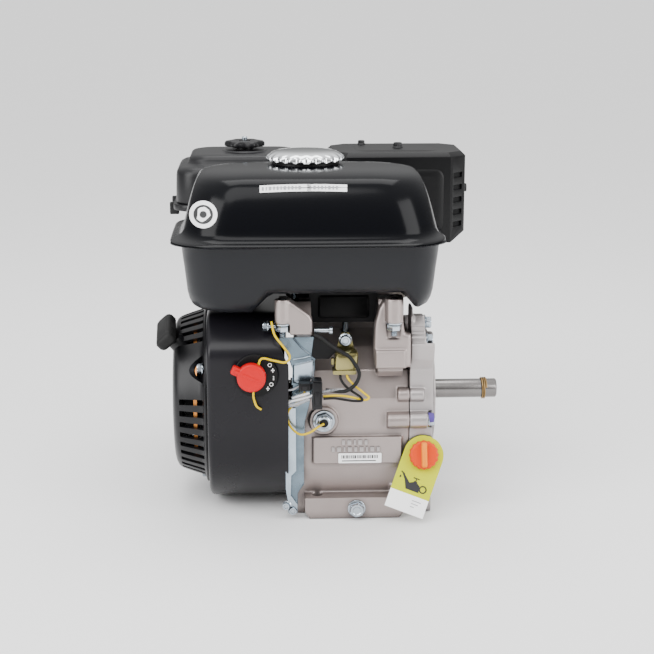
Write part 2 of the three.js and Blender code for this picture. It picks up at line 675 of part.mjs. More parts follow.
// ---- Zinc-plated shroud plate on the front of the crankcase ----
const plateFront = -85;
add('shroud_plate', join(
  prism('y', outline([
    [-73, 180], [-41, 180], [-25, 172], [-25, 168], [-29, 160], [-40, 160], [-41, 140],
    [-46, 113], [-50, 97], [-51, 66], [-51, 36], [-57, 25], [-57, 12], [-65, 12],
    [-65, 104], [-62, 135], [-61.6, 150], [-64, 157], [-70, 171],
  ]), plateFront, plateFront + 1.6),
  box(-65, -63.4, plateFront, -40, 20, 96),
), 'zinc');

// ---- Fuel tank ----
const tank = { left: -164, right: 76, front: -120, rear: 38 };
function tankSolid(inset) {
  const [left, right] = [tank.left + inset, tank.right - inset];
  const [front, rear] = [tank.front + inset, tank.rear - inset];
  const upper = leaningBlock(left, right, front, rear, tankSeam, tankTop - inset, 34, 12, 15, 16);
  const lower = leaningBlock(left + 2, right - 1, front + 2, rear - 1,
    -tankSeam, -tankBottom - inset, 30, 11, 6, 9);
  lower.scale(1, 1, -1);
  const saddleTop = saddleHeight + inset;
  const saddle = prism('y', outline([
    [-99 - inset, 190], [-94 - inset, 214], [-86 - inset, saddleTop],
    [42 + inset, saddleTop], [50 + inset, 214], [55 + inset, 190],
  ]), -160, 80);
  return join(common(upper, box(-300, 300, -300, 300, tankSeam, 400)),
    cut(common(lower, box(-300, 300, -300, 300, 100, tankSeam + 0.01)), saddle));
}
const flangeShape = roundedRectangle(
  tank.left - 9, tank.right + 4.5, tank.front - 8.5, tank.rear + 8, 40);
const flange = prism('z', flangeShape, tankSeam - 0.6, tankSeam + 2, 0, 3);
const neckTop = tankTop + 4;
add('fuel_tank', cut(
  join(tankSolid(0), flange, rod('z', 31, tankTop - 6, neckTop, capX, capY, 20)),
  tankSolid(3),
  rod('z', 22, tankTop - 8, neckTop + 1, capX, capY, 16),
), 'blackPaint');
const nutTop = 197.6;
const tankNut = (x) => join(
  rod('z', 6.6, nutTop - 6, nutTop, x, studY, 6),
  rod('z', 3.6, nutTop - 11, lugTop + 0.2, x, studY, 10));
add('tank_nut_left', tankNut(leftStud), 'zinc');
add('tank_nut_right', tankNut(rightStud), 'zinc');

const capScallops = 20;
const capPoints = Array.from({ length: capScallops * 2 }, (_, index) => {
  const radius = capRadius - 1.1 * (index % 2);
  const angle = (index * Math.PI) / capScallops;
  return [capX + radius * Math.cos(angle), capY + radius * Math.sin(angle)];
});
add('fuel_cap', join(
  prism('z', outline(capPoints), neckTop + gap, neckTop + 7),
  rod('z', 34, neckTop + 6.9, neckTop + 10, capX, capY, 20, 27),
), 'chrome');

// ---- Air cleaner ----
const elbowTop = -138;
const filter = { left: -179, right: -36, front: 84, rear: 200 };
const filterTray = roundedRectangle(
  filter.left - 3, filter.right + 3, filter.front - 3, filter.rear + 3, 22);
add('air_cleaner_base', cut(
  join(
    prism('z', filterTray, filterBase, filterBase + 7, 0, 3),
    rod('z', 3, filterBase + 1, filterTop + 15, filterX, filterY, 10),
  ),
  rod('z', 14, filterBase - 1, filterBase + 8, elbowTop, filterY, 20),
), 'blackPlastic');
const filterBody = leaningBlock(filter.left, filter.right, filter.front, filter.rear,
  filterBase + 7 + gap, filterTop, 22, 8, 12, 8);
const filterInside = leaningBlock(filter.left + 3, filter.right - 3, filter.front + 3, filter.rear - 3,
  filterBase + 7, filterTop - 3, 20, 7, 12, 8);
add('air_cleaner_cover', cut(
  common(filterBody, box(-300, 300, -300, 300, filterBase + 7 + gap, 400)),
  filterInside,
  rod('z', 3.4, 300, 400, filterX, filterY, 10),
), 'blackPlastic');
add('air_filter_element', cut(
  prism('z', roundedRectangle(-164, -50, 104, 180, 16), filterBase + 7 + gap, filterTop - 10),
  prism('z', roundedRectangle(-150, -64, 118, 166, 8), filterBase + 6, filterTop - 9),
), 'foam');
const knobPoints = Array.from({ length: 24 }, (_, index) => {
  const angle = (index * 2 * Math.PI) / 24;
  const radius = 19.5 + 1.5 * Math.cos(angle * 6);
  return [filterX + radius * Math.cos(angle), filterY + radius * Math.sin(angle)];
});
add('air_cleaner_knob', cut(
  join(
    prism('z', outline(knobPoints), filterTop + 5, filterTop + 11),
    rod('z', 9, filterTop + gap, filterTop + 6, filterX, filterY, 16),
  ),
  rod('z', 3 + gap, filterTop - 1, filterTop + 12, filterX, filterY, 10),
), 'blackPlastic');

// ---- Carburettor, its spacer and the intake elbow ----
const [portY, portZ] = [
  -6 * Math.sin(radians(cylinderTilt)) + portHeight * Math.cos(radians(cylinderTilt)),
  shaftHeight + 6 * Math.cos(radians(cylinderTilt)) + portHeight * Math.sin(radians(cylinderTilt)),
];
const spacerRight = cylinderX - 49 - gap;
const spacerLeft = spacerRight - 9;
const carbLeft = spacerLeft - gap - 44;
add('intake_spacer', cut(box(spacerLeft, spacerRight, portY - 24, portY + 24, portZ - 18, portZ + 18),
  rod('x', 9, spacerLeft - 1, spacerRight + 1, portY, portZ, 16)), 'blackPlastic');
add('carburetor', cut(
  join(
    rod('x', 16, carbLeft, spacerLeft - gap, portY, portZ, 20),
    box(carbLeft, carbLeft + 5, portY - 24, portY + 24, portZ - 16, portZ + 16),
    box(spacerLeft - 5, spacerLeft - gap, portY - 24, portY + 24, portZ - 16, portZ + 16),
    box(carbLeft + 12, carbLeft + 38, portY - 14, portY + 14, portZ - 30, portZ),
    rod('z', 19, portZ - 54, portZ - 28, carbLeft + 24, portY, 20),
    rod('z', 6, portZ - 58, portZ - 50, carbLeft + 24, portY, 6),
    box(carbLeft + 14, carbLeft + 34, portY - 10, portY + 10, portZ, portZ + 20),
    box(carbLeft + 8, carbLeft + 40, portY + 17, portY + 34, portZ - 50, portZ - 30),
    rod('y', 4, portY + 33, portY + 37, carbLeft + 24, portZ - 40, 10)),
  rod('x', 9, carbLeft - 1, spacerLeft, portY, portZ, 16),
  rod('z', 2.6, portZ + 8, portZ + 30, carbLeft + 24, portY, 10),
), 'casting');

const elbowPath = [
  [carbLeft - gap, portY, portZ], [carbLeft - 8, portY, portZ], [carbLeft - 20, portY, portZ + 12],
  [carbLeft - 26, portY, portZ + 40], [elbowTop, filterY, filterBase - 14],
  [elbowTop, filterY, filterBase - gap]];
const elbowSection = outline(Array.from({ length: 12 }, (_, k) => [
  14 * Math.cos((k * Math.PI) / 6), 14 * Math.sin((k * Math.PI) / 6)]));
elbowSection.holes.push(new THREE.Path(Array.from({ length: 12 }, (_, k) => new THREE.Vector2(
  11 * Math.cos((k * Math.PI) / 6),
  11 * Math.sin((k * Math.PI) / 6)))));
add('intake_elbow', new THREE.ExtrudeGeometry(elbowSection, {
  steps: 9, extrudePath: new THREE.CatmullRomCurve3(elbowPath.map((p) => new THREE.Vector3(...p))),
}), 'blackPlastic');

// ---- Levers on the carburettor and the throttle control ----
const chokeX = carbLeft + 24;
const chokeArm = outline([
  [chokeX - 6, portY - 6], [chokeX + 6, portY - 6],
  [chokeX + 5, portY + 44], [chokeX - 5, portY + 44],
]);
add('choke_lever', join(
  rod('z', 2.3, portZ + 12, portZ + 28, chokeX, portY, 8),
  prism('z', chokeArm, portZ + 20 + gap, portZ + 23),
  box(chokeX - 5, chokeX + 5, portY + 40, portY + 44, portZ + 21, portZ + 36),
), 'blackPlastic');
const tapZ = portZ - 40;
add('fuel_valve_lever', join(
  cut(rod('y', 9, portY + 34 + gap, portY + 44, chokeX, tapZ, 16),
    rod('y', 4 + gap, portY + 33, portY + 38, chokeX, tapZ, 12)),
  box(chokeX - 4, chokeX + 26, portY + 39, portY + 44, tapZ - 4, tapZ + 4),
), 'red');

const controlZ = 208;
const throttlePivot = [-34, 62];
add('control_bracket', cut(
  join(
    box(-58, 10, 30, 74, controlZ, controlZ + 2),
    box(-58, -56, 30, 74, controlZ - 14, controlZ + 2),
    box(8, 10, 30, 50, controlZ - 19, controlZ + 2),
  ),
  rod('z', 3.4, controlZ - 2, controlZ + 4, ...throttlePivot, 10),
), 'zinc');
add('throttle_lever', join(
  rod('z', 3, controlZ - 5, controlZ + 5, ...throttlePivot, 10),
  rod('z', 6, controlZ + 2 + gap, controlZ + 4.5, ...throttlePivot, 12),
  prism('z', outline([[-38, 60], [-30, 60], [-28, 112], [-36, 112]]), controlZ + 2 + gap, controlZ + 4.5),
  box(-36, -28, 109, 112, controlZ + 3, controlZ + 16)), 'zinc');

const governorPlace = [-8, -20];
add('governor_arm', join(
  rod('z', 3, 160, 208, ...governorPlace, 10),
  rod('z', 7, 186, 196, ...governorPlace, 16),
  prism('z', outline([[-12, -18], [-4, -18], [0, 26], [-6, 26]]), 188, 190),
), 'zinc');

// ---- Muffler and its guard ----
const guard = { left: -18, right: 126, front: 92, rear: 190, chamfer: 17 };
function guardOutline(inset) {
  const [x0, x1] = [guard.left + inset, guard.right - inset];
  const [y0, y1] = [guard.front + inset, guard.rear - inset];
  const corner = guard.chamfer - inset * 0.4;
  return outline([
    [x0 + corner, y0], [x1 - corner, y0], [x1, y0 + corner], [x1, y1 - corner],
    [x1 - corner, y1], [x0 + corner, y1], [x0, y1 - corner], [x0, y0 + corner],
  ]);
}
const guardSlots = [];
for (let index = 0; index < 5; index += 1) {
  const slotX = guard.right - guard.chamfer / 2;
  const slotZ = guardBottom + 16 + index * 13;
  const slot = () => box(-7, 7, -8, 8, 0, 5.5);
  guardSlots.push(slot().rotateZ(radians(45)).translate(slotX, guard.front + guard.chamfer / 2, slotZ));
  guardSlots.push(slot().rotateZ(radians(-45)).translate(slotX, guard.rear - guard.chamfer / 2, slotZ));
}
add('muffler_guard', cut(
  prism('z', guardOutline(0), guardBottom, guardTop, 4),
  prism('z', guardOutline(1.8), guardBottom - 20, guardTop - 2, 3),
  box(0, 40, 60, 240, -30, 0).rotateY(radians(-32)).translate(guard.right - 16, 0, guardBottom),
  ...guardSlots,
), 'satinBlack');
const mufflerBody = { left: -6, right: 114, front: 104, rear: 178 };
const [exhaustX, exhaustY, exhaustZ] = [cylinderX + 49 + gap, portY, portZ];
const mufflerShape = roundedRectangle(
  mufflerBody.left, mufflerBody.right, mufflerBody.front, mufflerBody.rear, 20);
add('muffler', cut(
  join(
    prism('z', mufflerShape, guardBottom + 6, guardTop - 7, 6, 2),
    rod('y', 9, mufflerBody.rear - 2, mufflerBody.rear + 10, 92, guardTop - 26, 14),
    cable([[exhaustX + 6, exhaustY, exhaustZ], [exhaustX + 18, exhaustY, exhaustZ + 2],
      [exhaustX + 28, exhaustY, exhaustZ + 20], [exhaustX + 28, exhaustY, guardBottom + 12]], 14, 5, 10),
    box(exhaustX, exhaustX + 8, exhaustY - 26, exhaustY + 26, exhaustZ - 16, exhaustZ + 16)),
  rod('y', 6.5, mufflerBody.rear - 20, mufflerBody.rear + 12, 92, guardTop - 26, 12),
  rod('x', 10, exhaustX - 1, exhaustX + 12, exhaustY, exhaustZ, 14),
), 'iron');

// ---- Ignition switch ----
const dialFace = -fanRadius - 3;
add('switch_body', join(
  rod('y', 21, dialFace, -fanRadius - gap, switchPlace.x + 4, switchPlace.z - 1, 20),
  rod('y', 8.5, -fanRadius - 1, -84, switchPlace.x, switchPlace.z, 16),
), 'blackPlastic');
const tabAngle = radians(155);
const knobTab = box(8, 20, dialFace - 13, dialFace - 6, -4, 4);
add('switch_knob', join(
  rod('y', 13.6, dialFace - 14, dialFace - 5.4, switchPlace.x, switchPlace.z, 24),
  rod('y', 6, dialFace - 6, dialFace - gap, switchPlace.x, switchPlace.z, 12),
  knobTab.rotateY(-tabAngle).translate(switchPlace.x, 0, switchPlace.z),
), 'red');

// ---- Oil filler cap with dipstick, and its hanging tag ----
const onFiller = (geometry) => aimed(geometry, fillerDirection, fillerMouth);
add('oil_cap', join(
  onFiller(rod('z', 14, 2.3, 9, 0, 0, 24)),
  onFiller(rod('z', 9, -16, 3, 0, 0, 16)),
  onFiller(box(-3, 3, -13, 13, 8, 13)),
  onFiller(rod('z', 2.6, -58, -15, 0, 0, 8)),
), 'orange');
const tagHead = [65, 62];
const tagLean = radians(-21);
const tagShape = new THREE.Shape();
tagShape.absarc(0, 0, 19.5, 0, Math.PI);
tagShape.lineTo(-19.5, -58);
tagShape.lineTo(19.5, -58);
tagShape.holes.push(new THREE.Path().absarc(0, 0, 10.4, 0, Math.PI * 2, true));
add('oil_tag', prism('y', tagShape, -1.1, 0, 0, 8).rotateY(-tagLean).rotateX(radians(-20))
  .translate(tagHead[0], -84, tagHead[1]), 'tag');

// ---- Oil level switch and oil alert unit ----
add('oil_level_switch', join(
  rod('y', 9, -87, -80 - gap, oilSwitch.x, oilSwitch.z, 6),
  rod('y', 6.6, -84, -56, oilSwitch.x, oilSwitch.z, 14),
  rod('y', 11, -68.5, -50, oilSwitch.x, oilSwitch.z, 16),
), 'zinc');
add('oil_alert_unit', join(
  box(-22.6, -1, -98, -80, 147.5, 169),
  prism('y', outline([[-19, 169], [-3, 169], [-6, 184], [-17, 184]]), -82, -80),
), 'olive');

// ---- Leads and their connectors ----
add('wire_connector', join(
  box(-43.5, -34, -108, -90, 116.5, 142.5),
  box(-56, -44.5, -104, -94, 133.6, 141),
  box(-46, -42, -102, -96, 134.5, 140),
), 'blackPlastic');
add('switch_lead', cable([
  [-81.4, -99, 200], [-78.5, -106, 189], [-70, -108, 177.5], [-64.5, -109.5, 169],
  [-69, -109.8, 163.5], [-80, -109.8, 165.5], [-90, -109.8, 167.5], [-93.5, -109.8, 162],
  [-91.5, -109.8, 151], [-94.5, -109.8, 141.5], [-99, -109.8, 134], [-96.5, -109, 122],
  [-92, -106, 117]], 1.3, 30), 'yellow');
add('oil_switch_lead', cable([
  [-50, -99, 132], [-57, -98, 122], [-65, -97, 114], [-67, -96, 105], [-63, -95, 95], [-55, -95, 88.5],
  [-46, -95, 90], [-38, -94, 95], [-32, -90, 97]], 1.3, 22), 'yellow');
add('alert_lead', cable([
  [-33, -103, 128.2], [-21, -104, 129.1], [-8.8, -104, 127.9], [5.6, -104, 124.5], [10.2, -103.4, 126.6],
  [5.6, -103, 130.9], [-2.7, -101, 137.4], [-8.8, -98, 143.4], [-10.5, -95, 146]], 1.3, 22), 'yellow');
add('engine_lead', cable([
  [-41.5, -101, 188.4], [-35.4, -102, 185.2], [-27.3, -103, 178.9], [-17.1, -104, 172.4],
  [-8.9, -104, 167.1], [-2.7, -104, 158.6], [0.8, -104, 151.2], [-0.6, -104.6, 143.7],
  [-5.7, -105.4, 137.4], [-13.9, -104.6, 133.3], [-30.6, -100, 133.5]], 1.8, 22), 'rubber');

const plugEnd = new THREE.Vector3(-22.4, -22, headBase + 16)
  .addScaledVector(new THREE.Vector3(...plugDirection).normalize(), 43).applyMatrix4(cylinderGroup.matrix);
add('ignition_lead', cable([
  plugEnd.toArray(), [plugEnd.x - 7, plugEnd.y, plugEnd.z], [-50, 124, 224], [-60, 110, 212],
  [-62, 101, 192], [-62.5, 97, 172], [-65, 95, 156], [-71.2, 95, 152]], 3, 16), 'rubber');

export default engine;
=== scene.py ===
import json
from math import cos, pi, radians, sin, sqrt, tau

import bmesh
import bpy
from mathutils import Matrix, Vector
from mathutils.bvhtree import BVHTree


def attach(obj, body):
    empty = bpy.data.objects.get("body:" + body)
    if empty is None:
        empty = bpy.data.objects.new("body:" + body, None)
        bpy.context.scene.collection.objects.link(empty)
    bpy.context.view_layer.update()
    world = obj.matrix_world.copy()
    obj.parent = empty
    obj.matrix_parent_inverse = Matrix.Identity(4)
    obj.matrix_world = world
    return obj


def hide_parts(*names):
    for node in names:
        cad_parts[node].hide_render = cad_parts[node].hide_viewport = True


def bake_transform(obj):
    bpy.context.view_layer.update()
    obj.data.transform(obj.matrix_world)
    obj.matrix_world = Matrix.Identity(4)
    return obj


# Lengths are in millimetres, in the row frame, until a mesh is built.
MM = 0.001
SHAFT_Z = 106.0
TILT = radians(25)

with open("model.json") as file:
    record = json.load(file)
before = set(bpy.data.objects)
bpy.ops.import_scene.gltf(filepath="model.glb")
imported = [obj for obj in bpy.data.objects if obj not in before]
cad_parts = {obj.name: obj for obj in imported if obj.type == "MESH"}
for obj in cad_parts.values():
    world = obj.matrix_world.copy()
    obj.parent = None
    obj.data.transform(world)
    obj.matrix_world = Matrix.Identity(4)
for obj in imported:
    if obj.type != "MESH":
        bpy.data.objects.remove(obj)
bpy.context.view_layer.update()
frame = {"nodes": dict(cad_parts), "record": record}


def put(thing):
    """Links an object to the scene."""
    bpy.context.scene.collection.objects.link(thing)
    return thing


# ---- Camera ----
turn, rise, distance = radians(-2.5), radians(13.25), 1.5
back = Vector((sin(turn) * cos(rise), -cos(turn) * cos(rise), sin(rise)))
target = Vector((-0.025, 0.0, 0.1712))
camera = bpy.data.objects.new("camera", bpy.data.cameras.new("camera"))
camera.data.lens = 82.13
camera.data.sensor_width = 36.0
camera.location = target + back * distance
camera.rotation_euler = back.to_track_quat("Z", "Y").to_euler()
bpy.context.scene.camera = put(camera)


# ---- Materials ----
def add_node(tree, kind, **values):
    """A shader node whose sockets are set to the values, or linked to the sockets given."""
    node = tree.nodes.new("ShaderNode" + kind)
    if kind == "Mix":
        node.data_type = "RGBA"
    for name, value in values.items():
        socket = node.inputs[name.replace("_", " ")]
        if isinstance(value, bpy.types.NodeSocket):
            tree.links.new(value, socket)
        else:
            socket.default_value = value
    return node


def paint(name, colour, rough, metal=0.0, vary=0.06, scale=40.0, bump=0.0, grain=600.0, painted_corner_shade=0.0,
          painted_shadow=None,
          shine=None, **extra):
    """A surface whose tone, roughness and fine relief come from noise in object space.

    Its colour is darkened in corners and creases by ambient occlusion, a painted shade; above a height and
    behind a given depth it is darkened again, a painted shadow of the tank.
    """
    made = bpy.data.materials.new(name)
    made.use_nodes = True
    tree = made.node_tree
    links = tree.links
    shader = tree.nodes["Principled BSDF"]

    def shade(share):
        return (*[min(1, c * share) for c in colour], 1)

    place = add_node(tree, "TexCoord").outputs["Object"]
    broad = add_node(tree, "TexNoise", Vector=place, Scale=scale, Detail=4.0).outputs["Fac"]
    surface = add_node(tree, "Mix", Factor=broad, A=shade(1 - vary), B=shade(1 + vary)).outputs["Result"]
    # Painted shade: ambient occlusion darkens the colour in corners and creases.
    if painted_corner_shade:
        corner = add_node(tree, "AmbientOcclusion", Distance=0.009)
        corner.samples = 6
        depth = add_node(tree, "MapRange", Value=corner.outputs["AO"], From_Min=0.35, From_Max=0.95)
        surface = add_node(tree, "Mix", Factor=depth.outputs["Result"], A=shade(1 - painted_corner_shade),
                           B=surface).outputs["Result"]
    # Painted shadow: above a height and behind a depth the colour is darkened, standing in for the tank's
    # shadow.
    if painted_shadow:
        split = add_node(tree, "SeparateXYZ", Vector=place)
        both = add_node(tree, "Math")
        both.operation = "MULTIPLY"
        for index, (axis, (start, end)) in enumerate(zip("ZY", painted_shadow)):
            ramp = add_node(tree, "MapRange", Value=split.outputs[axis], From_Min=start * MM,
                            From_Max=end * MM)
            ramp.interpolation_type = "SMOOTHSTEP"
            links.new(ramp.outputs["Result"], both.inputs[index])
        surface = add_node(tree, "Mix", Factor=both.outputs["Value"], A=surface,
                           B=shade(0.16)).outputs["Result"]
    links.new(surface, shader.inputs["Base Color"])
    spread = add_node(tree, "MapRange", Value=broad, To_Min=max(0.03, rough * (1 - 1.5 * vary)),
                      To_Max=min(1.0, rough * (1 + 1.5 * vary)))
    links.new(spread.outputs["Result"], shader.inputs["Roughness"])
    shader.inputs["Metallic"].default_value = metal
    if shine is not None:
        shader.inputs["Specular IOR Level"].default_value = shine
    for socket, value in extra.items():
        shader.inputs[socket.replace("_", " ")].default_value = value
    if bump:
        fine = add_node(tree, "TexNoise", Vector=place, Scale=grain, Detail=3.0)
        relief = add_node(tree, "Bump", Height=fine.outputs["Fac"], Strength=bump, Distance=0.0004)
        links.new(relief.outputs["Normal"], shader.inputs["Normal"])
    return made


CAST = paint("cast", (0.35, 0.3, 0.285), 0.38, 0.75, 0.12, 25, 0.4, 900, painted_corner_shade=0.7)
# The crankcase's cast finish with a painted shadow of the tank darkening its upper wall.
CAST_CASE_PAINTED_SHADOW = paint("cast_case_painted_shadow", (0.35, 0.3, 0.285), 0.38, 0.75, 0.12, 25, 0.4, 900, painted_corner_shade=0.7,
                  painted_shadow=((160, 190), (-88, -79)))
CAST_COVER = paint("cast_cover", (0.4, 0.37, 0.365), 0.36, 0.75, 0.12, 25, 0.4, 900, painted_corner_shade=0.7)
ZINC = paint("zinc", (0.42, 0.5, 0.57), 0.2, 0.95, 0.4, 45, 0.15, 300, painted_corner_shade=0.6)
# A darker copy of the zinc, painted shade, for the shaded parts of the shroud.
ZINC_PAINTED_SHADE = paint("zinc_painted_shade", (0.16, 0.21, 0.25), 0.24, 0.95, 0.6, 60, 0.3, 120, painted_corner_shade=0.6)
BOLT = paint("bolt", (0.5, 0.56, 0.62), 0.18, 0.95, 0.2, 90, 0.08, 500, painted_corner_shade=0.85)
STEEL = paint("steel", (0.2, 0.19, 0.185), 0.24, 0.95, 0.2, 30, 0.1, 700)
CHROME = paint("chrome", (0.86, 0.88, 0.9), 0.07, 1.0, 0.04, 30)
GLOSS = paint("gloss_enamel", (0.001, 0.0012, 0.0022), 0.17, 0.0, 0.1, 18, shine=0.13)
SATIN = paint("satin_enamel", (0.009, 0.0095, 0.0115), 0.34, 0.0, 0.1, 18, 0.03, 500, shine=0.2)
FAN_PAINT = paint("fan_enamel", (0.006, 0.0056, 0.0075), 0.28, 0.0, 0.08, 20, 0.02, 500, shine=0.22)
GUARD_PAINT = paint("guard_enamel", (0.003, 0.003, 0.0034), 0.34, 0.0, 0.1, 25, 0.1, 700, shine=0.2)
PLASTIC = paint("plastic", (0.005, 0.005, 0.006), 0.36, 0.0, 0.1, 30, 0.15, 900, shine=0.3)
DARK = paint("dark_plastic", (0.003, 0.003, 0.0034), 0.5, 0.0, 0.1, 30, 0.1, 900, shine=0.2)
RUBBER = paint("rubber", (0.006, 0.006, 0.006), 0.6, 0.0, 0.1, 60, 0.15, 900, shine=0.25)
IRON = paint("iron", (0.09, 0.08, 0.07), 0.6, 0.7, 0.2, 30, 0.4, 500)
COPPER = paint("copper", (0.5, 0.2, 0.05), 0.4, 0.9, 0.2, 120)
BRASS = paint("brass_wire", (0.34, 0.22, 0.09), 0.4, 0.9, 0.2, 120)
RED = paint("red", (0.5, 0.001, 0.004), 0.4, 0.0, 0.04, 30, 0.03, 500, shine=0.25)
ORANGE = paint("orange", (0.62, 0.045, 0.0), 0.4, 0.0, 0.04, 30, 0.03, 500, shine=0.25)
# A lighter copy of the orange, a painted highlight on the oil cap's grip ridge.
ORANGE_PAINTED_HIGHLIGHT = paint("orange_painted_highlight", (0.8, 0.21, 0.0), 0.4, 0.0, 0.04, 30, 0.03, 500, shine=0.3)
YELLOW = paint("yellow", (0.62, 0.43, 0.0), 0.4, 0.0, 0.05, 60, shine=0.25)
CLEAR = paint("clear_sleeve", (0.85, 0.87, 0.9), 0.2, 0.0, 0.05, 60, Transmission_Weight=0.75, Alpha=0.6)
OLIVE = paint("olive", (0.28, 0.245, 0.10), 0.22, 0.9, 0.3, 60, 0.05, 400, painted_corner_shade=0.8)
FOAM = paint("foam", (0.04, 0.04, 0.038), 0.95, 0.0, 0.2, 200, 0.8, 300)
CARD_YELLOW = paint("card_yellow", (0.5, 0.54, 0.0), 0.5, 0.0, 0.03, 30, shine=0.2)
CARD_WHITE = paint("card_white", (0.93, 0.93, 0.93), 0.5, 0.0, 0.03, 30)
PAPER = paint("paper", (0.93, 0.93, 0.93), 0.45, 0.0, 0.03, 30)
INK = paint("ink", (0.012, 0.012, 0.013), 0.6, 0.0, 0.05, 30)
INK_VIOLET = paint("violet_mark", (0.06, 0.03, 0.22), 0.5, 0.0, 0.2, 200)
GREY_INK = paint("grey_ink", (0.3, 0.3, 0.32), 0.6, 0.0, 0.05, 30)

# The finishes of each slot; the first is also given to the nodes that are shown as they are.
SLOTS = {
    "cast_aluminium": (CAST, CAST_CASE_PAINTED_SHADOW, CAST_COVER),
    "zinc_plate": (ZINC, ZINC_PAINTED_SHADE, BOLT, INK_VIOLET),
    "machined_steel": (STEEL, COPPER, BRASS),
    "chrome": (CHROME,),
    "gloss_black": (GLOSS, SATIN),
    "satin_black": (GUARD_PAINT, FAN_PAINT),
    "black_plastic": (PLASTIC, DARK, CLEAR),
    "cast_iron": (IRON,),
    "black_rubber": (RUBBER,),
    "red_plastic": (RED,),
    "orange_plastic": (ORANGE, ORANGE_PAINTED_HIGHLIGHT),
    "yellow_insulation": (YELLOW,),
    "olive_plate": (OLIVE,),
    "filter_foam": (FOAM,),
    "tag_card": (CARD_YELLOW, CARD_WHITE, PAPER, INK, GREY_INK),
}


def usual_slot(material):
    return next(slot for slot, finishes in SLOTS.items() if material in finishes)


# ---- Shape helpers ----
def rounded(x0, x1, y0, y1, radius, steps=10):
    """The points of a rounded rectangle, anticlockwise."""
    points = []
    for cx, cy, start in ((x1 - radius, y1 - radius, 0), (x0 + radius, y1 - radius, 90),
                          (x0 + radius, y0 + radius, 180), (x1 - radius, y0 + radius, 270)):
        for step in range(steps + 1):
            angle = radians(start + 90 * step / steps)
            points.append((cx + radius * cos(angle), cy + radius * sin(angle)))
    return points


def circle(radius, steps=48, start=0.0):
    angles = [start + k * tau / steps for k in range(steps)]
    return [(radius * cos(a), radius * sin(a)) for a in angles]


def hexagon(radius, start=0.0, shares=(0, 0.33, 0.66)):
    """A hexagon with more points along its sides."""
    corners = circle(radius, 6, start)
    return [tuple(Vector(a).lerp(Vector(b), t)) for a, b in zip(corners, corners[1:] + corners[:1])
            for t in shares]


def waved(radius, wave, count, z, steps, lift=0.0):
    """A ring whose radius waves count times a turn; with a lift, its height waves too."""
    ring = []
    for a in [k * tau / steps for k in range(steps)]:
        swell = wave * cos(a * count)
        ring.append(((radius + swell) * cos(a), (radius + swell) * sin(a), z + lift * swell))
    return ring


def flat(outline, z):
    """An outline as a level at one height."""
    return [(x, y, z) for x, y in outline]


def slab(outline, low, high):
    """The two levels of an outline pulled straight up."""
    return [flat(outline, low), flat(outline, high)]


def stack(x0, x1, y0, y1, radius, profile, steps=6, shrink=0.0):
    """Levels of a rounded rectangle; profile pairs are (height, inset)."""
    return [flat(rounded(x0 + i, x1 - i, y0 + i, y1 - i, radius - shrink * i, steps), z) for z, i in profile]


def block(x0, x1, y0, y1, z0, z1, easing=1.0):
    """Levels of a rounded block."""
    radius = max(easing, 0.05)
    levels = []
    for z, inset in ((z0, radius), (z0 + radius * 0.3, radius * 0.3), (z0 + radius, 0),
                     (z1 - radius, 0), (z1 - radius * 0.3, radius * 0.3), (z1, radius)):
        levels.append(flat(rounded(x0 + inset, x1 - inset, y0 + inset, y1 - inset,
                                   max(radius * 1.5 - inset, 0.1), 4), z))
    return levels


def spun(degrees, axis):
    return Matrix.Rotation(radians(degrees), 3, axis)


def swung(levels, spin, centre=(0, 0, 0)):
    """Levels turned by a rotation and then moved to a centre."""
    return [[spin @ Vector(p) + Vector(centre) for p in level] for level in levels]


def upright(position=(0, 0, 0)):
    return lambda p: Vector(p) + Vector(position)


def toward(position, direction, roll=0.0):
    """Local +Z is laid along the direction, with the origin at the position."""
    spin = Vector((0, 0, 1)).rotation_difference(Vector(direction).normalized()).to_matrix()
    spin = spin @ Matrix.Rotation(roll, 3, "Z")
    return lambda p: spin @ Vector(p) + Vector(position)


def across_x(position=(0, 0, 0)):
    """Local (x, y, z) becomes (y, z, x): local +Z runs along the shaft."""
    return lambda p: Vector((p[2], p[0], p[1])) + Vector(position)


def facing(position=(0, 0, 0)):
    """Local (x, y, z) becomes (x, -z, y): local +Z comes out of the front."""
    return lambda p: Vector((p[0], -p[2], p[1])) + Vector(position)


def in_cylinder(p):
    """From the tilted cylinder's own frame to the row frame."""
    spin = Matrix.Rotation(TILT - pi / 2, 3, "X")
    return spin @ Vector(p) + Vector((-4, 0, SHAFT_Z))


